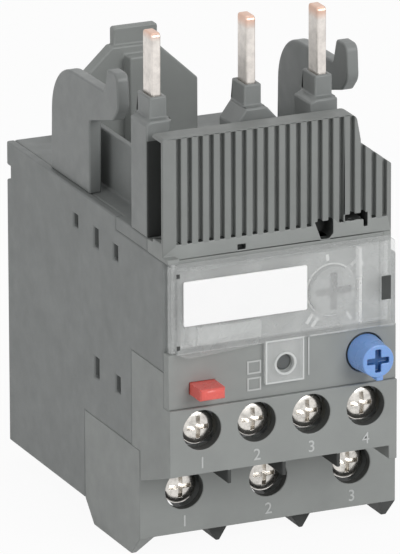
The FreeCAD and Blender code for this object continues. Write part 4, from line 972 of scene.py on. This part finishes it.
class RELAY_OT_pins(Operator):
    """Line pins and their insulating sleeves"""

    bl_idname = "relay.pins"
    bl_label = "Line pins"

    PIN_EDGE = 0.22 * MM
    # the sleeves' fronts take painted shade, for the ribbed cover's shadow on them, up to this drop from
    # its top, this near their fronts
    SHADE_DROP = 2.0 * MM
    FRONT_REACH = 0.1 * MM

    def execute(self, context):
        kit = finishes()
        shade_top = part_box("front_cover")[1].z - self.SHADE_DROP
        for number in POLES:
            softened(f"line_pin_{number}", self.PIN_EDGE, kit["pin"])
            node = f"pin_sleeve_{number}"
            sleeve = softened(node, sizes().edge, kit["hook"], cut_at=shade_top)
            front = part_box(node)[0].y + self.FRONT_REACH
            # painted shade: the sleeve's front below the cut takes the dark grey
            darken(sleeve, kit["recess"], lambda point: point.y < front and point.z < shade_top)
        return {"FINISHED"}


class RELAY_OT_hooks(Operator):
    """Mounting hooks and the rear catch plate"""

    bl_idname = "relay.hooks"
    bl_label = "Hooks"

    def execute(self, context):
        kit = finishes()
        softened("rear_catch_plate", sizes().edge, kit["front"], segments=3)
        for node in ("left_mounting_hook", "right_mounting_hook"):
            softened(node, sizes().edge, kit["hook"], segments=3)
        return {"FINISHED"}


class RELAY_OT_works(Operator):
    """Bimetals, heaters, slide bars, levers and contacts inside"""

    bl_idname = "relay.works"
    bl_label = "Inner works"

    def execute(self, context):
        kit = finishes()
        for number in POLES:
            dress(f"bimetal_{number}", kit["bimetal"])
            dress(f"heater_winding_{number}", kit["heater"])
        for node in ("trip_slide", "differential_slide", "contact_carrier"):
            dress(node, kit["inner"])
        dress("compensation_lever", kit["bimetal"])
        dress("closed_contact_bridge", kit["zinc"])
        dress("open_contact_bridge", kit["zinc"])
        return {"FINISHED"}


class RELAY_OT_numbers(Operator):
    """Plain numbers under the terminals"""

    bl_idname = "relay.numbers"
    bl_label = "Terminal numbers"

    # from a screw's axis down to the middle of its number
    AUX_DROP = 5.5 * MM
    MAIN_DROP = 5.4 * MM
    # the font's size and its strokes' swelling, for a number of height 1
    FONT_SIZE = 1.42
    SWELLING = 0.006

    def execute(self, context):
        self.row("aux", CONTROLS, self.AUX_DROP)
        self.row("main", POLES, self.MAIN_DROP)
        return {"FINISHED"}

    def row(self, kind, numbers, drop):
        """Numbers the screws of one block."""
        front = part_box(f"{kind}_terminal_block")[0].y
        for number in numbers:
            middle = middle_of(f"{kind}_screw_{number}")
            centre = Vector((middle.x, front, middle.z - drop))
            self.raised_number(f"{kind}_number_{number}", number, centre)

    def raised_number(self, name, number, centre):
        """A raised number on a face that looks to the front."""
        size = sizes()
        curve = bpy.data.curves.new(name, "FONT")
        curve.body = str(number)
        curve.size = size.number * self.FONT_SIZE
        curve.align_x = "CENTER"
        curve.align_y = "CENTER"
        curve.extrude = size.relief / 2
        curve.offset = size.number * self.SWELLING
        text = link(bpy.data.objects.new(name, curve))
        text.matrix_world = Matrix.Translation(centre) @ Matrix.Rotation(math.radians(90), 4, "X")
        bpy.context.view_layer.update()
        graph = bpy.context.evaluated_depsgraph_get()
        mesh = bpy.data.meshes.new_from_object(text.evaluated_get(graph))
        mesh.transform(text.matrix_world)
        bpy.data.objects.remove(text)
        mesh.materials.clear()
        mesh.materials.append(finishes()["mark"])
        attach(link(bpy.data.objects.new(name, mesh)), "relay")


class RELAY_OT_stage(Operator):
    """Pale floor, soft studio light and the camera"""

    bl_idname = "relay.stage"
    bl_label = "Stage"

    WHITE = (1.0, 1.0, 1.0, 1.0)
    # strength of the world's light, where the background is 1
    WORLD_LEVEL = 0.34
    FLOOR_REACH = 3.0
    # how much of the floor is plain white to the rays that see the background
    FLOOR_GLOW = 0.94
    # each lamp's name, place, side in metres and power in watts, and where all of them point
    LAMPS = (("key_light", (0.35, -1.1, 0.6), 0.6, 7.8),
             ("fill_light", (-1.0, -0.35, 0.45), 0.7, 1.7),
             ("top_light", (0.1, 0.2, 1.1), 0.8, 1.4))
    LAMP_AIM = Vector((0.0, 0.0, 0.04))

    def execute(self, context):
        scene = context.scene
        scene.view_settings.view_transform = "Standard"
        scene.world = self.studio_world()
        work = bmesh.new()
        bmesh.ops.create_grid(work, x_segments=1, y_segments=1, size=self.FLOOR_REACH)
        mesh = bpy.data.meshes.new("floor")
        work.to_mesh(mesh)
        work.free()
        mesh.materials.append(self.floor_material())
        link(bpy.data.objects.new("floor", mesh))
        for lamp in self.LAMPS:
            self.area_light(*lamp)
        scene.camera = self.camera()
        return {"FINISHED"}

    def background_rays(self, nodes, links):
        """One for the rays that see the background: camera, glossy and transmission rays."""
        rays = nodes.new("ShaderNodeLightPath")
        value = rays.outputs["Is Camera Ray"]
        for name in ("Is Glossy Ray", "Is Transmission Ray"):
            either = nodes.new("ShaderNodeMath")
            either.operation = "MAXIMUM"
            links.new(value, either.inputs[0])
            links.new(rays.outputs[name], either.inputs[1])
            value = either.outputs["Value"]
        return value

    def studio_world(self):
        """A soft light from all round, which shows as white behind the relay."""
        world = bpy.data.worlds.new("studio")
        world.use_nodes = True
        nodes = world.node_tree.nodes
        links = world.node_tree.links
        back = nodes["Background"]
        back.inputs["Color"].default_value = self.WHITE
        level = nodes.new("ShaderNodeMapRange")
        level.inputs["To Min"].default_value = self.WORLD_LEVEL
        level.inputs["To Max"].default_value = 1.0
        links.new(self.background_rays(nodes, links), level.inputs["Value"])
        links.new(level.outputs["Result"], back.inputs["Strength"])
        return world

    def floor_material(self):
        """A pale floor that takes the shadow and looks almost white to the camera."""
        material = bpy.data.materials.new("pale_floor")
        material.use_nodes = True
        nodes = material.node_tree.nodes
        links = material.node_tree.links
        shader = nodes["Principled BSDF"]
        shader.inputs["Base Color"].default_value = (*colours().floor, 1.0)
        shader.inputs["Roughness"].default_value = 0.9
        shader.inputs["Specular IOR Level"].default_value = 0.0
        glow = nodes.new("ShaderNodeEmission")
        glow.inputs["Color"].default_value = self.WHITE
        share = nodes.new("ShaderNodeMath")
        share.operation = "MULTIPLY"
        share.inputs[1].default_value = self.FLOOR_GLOW
        links.new(self.background_rays(nodes, links), share.inputs[0])
        mix = nodes.new("ShaderNodeMixShader")
        links.new(share.outputs["Value"], mix.inputs["Fac"])
        links.new(shader.outputs["BSDF"], mix.inputs[1])
        links.new(glow.outputs["Emission"], mix.inputs[2])
        links.new(mix.outputs["Shader"], nodes["Material Output"].inputs["Surface"])
        return material

    def area_light(self, name, place, side, power):
        """A square lamp that points at the relay."""
        lamp = bpy.data.lights.new(name, "AREA")
        lamp.shape = "SQUARE"
        lamp.size = side
        lamp.energy = power
        piece = link(bpy.data.objects.new(name, lamp))
        piece.location = place
        piece.rotation_mode = "QUATERNION"
        piece.rotation_quaternion = (self.LAMP_AIM - Vector(place)).to_track_quat("-Z", "Y")

    def camera(self):
        """The camera, placed by its turn, rise and distance from the point that it looks at."""
        size = sizes()
        camera = link(bpy.data.objects.new("camera", bpy.data.cameras.new("camera")))
        camera.data.lens = size.lens
        camera.data.clip_start = 0.05
        turn, rise = size.azimuth, size.elevation
        back_way = Vector((math.sin(turn) * math.cos(rise), -math.cos(turn) * math.cos(rise),
                           math.sin(rise)))
        middle = (Vector(CAD_BOX[0]) + Vector(CAD_BOX[1])) / 2
        camera.location = middle + Vector(size.aim) + back_way * size.distance
        camera.rotation_mode = "QUATERNION"
        lean = Quaternion((0.0, 0.0, 1.0), size.roll)
        camera.rotation_quaternion = (-back_way).to_track_quat("-Z", "Y") @ lean
        return camera


OPERATORS = (
    RELAY_OT_casing, RELAY_OT_ribbed_cover, RELAY_OT_face, RELAY_OT_clear_cover, RELAY_OT_dial,
    RELAY_OT_buttons, RELAY_OT_screws, RELAY_OT_terminals, RELAY_OT_pins, RELAY_OT_hooks,
    RELAY_OT_works, RELAY_OT_numbers, RELAY_OT_stage,
)


class RELAY_PT_panel(Panel):
    """Lists the relay's parts and the sizes and colours that they take"""

    bl_label = "Overload relay"
    bl_idname = "RELAY_PT_panel"
    bl_space_type = "VIEW_3D"
    bl_region_type = "UI"
    bl_category = "Relay"

    def draw(self, context):
        layout = self.layout
        for operator in OPERATORS:
            layout.operator(operator.bl_idname)
        for group in (context.scene.relay_sizes, context.scene.relay_colours):
            column = layout.column()
            for name in group.__annotations__:
                column.prop(group, name)


CLASSES = (RelayColours, RelaySizes, *OPERATORS, RELAY_PT_panel)


def register():
    for item in CLASSES:
        bpy.utils.register_class(item)
    bpy.types.Scene.relay_colours = PointerProperty(type=RelayColours)
    bpy.types.Scene.relay_sizes = PointerProperty(type=RelaySizes)


def unregister():
    del bpy.types.Scene.relay_sizes
    del bpy.types.Scene.relay_colours
    for item in reversed(CLASSES):
        bpy.utils.unregister_class(item)


def main():
    register()
    for operator in OPERATORS:
        group, name = operator.bl_idname.split(".")
        if getattr(getattr(bpy.ops, group), name)() != {"FINISHED"}:
            raise RuntimeError(f"{operator.bl_label} didn't finish")


if __name__ == "__main__":
    main()
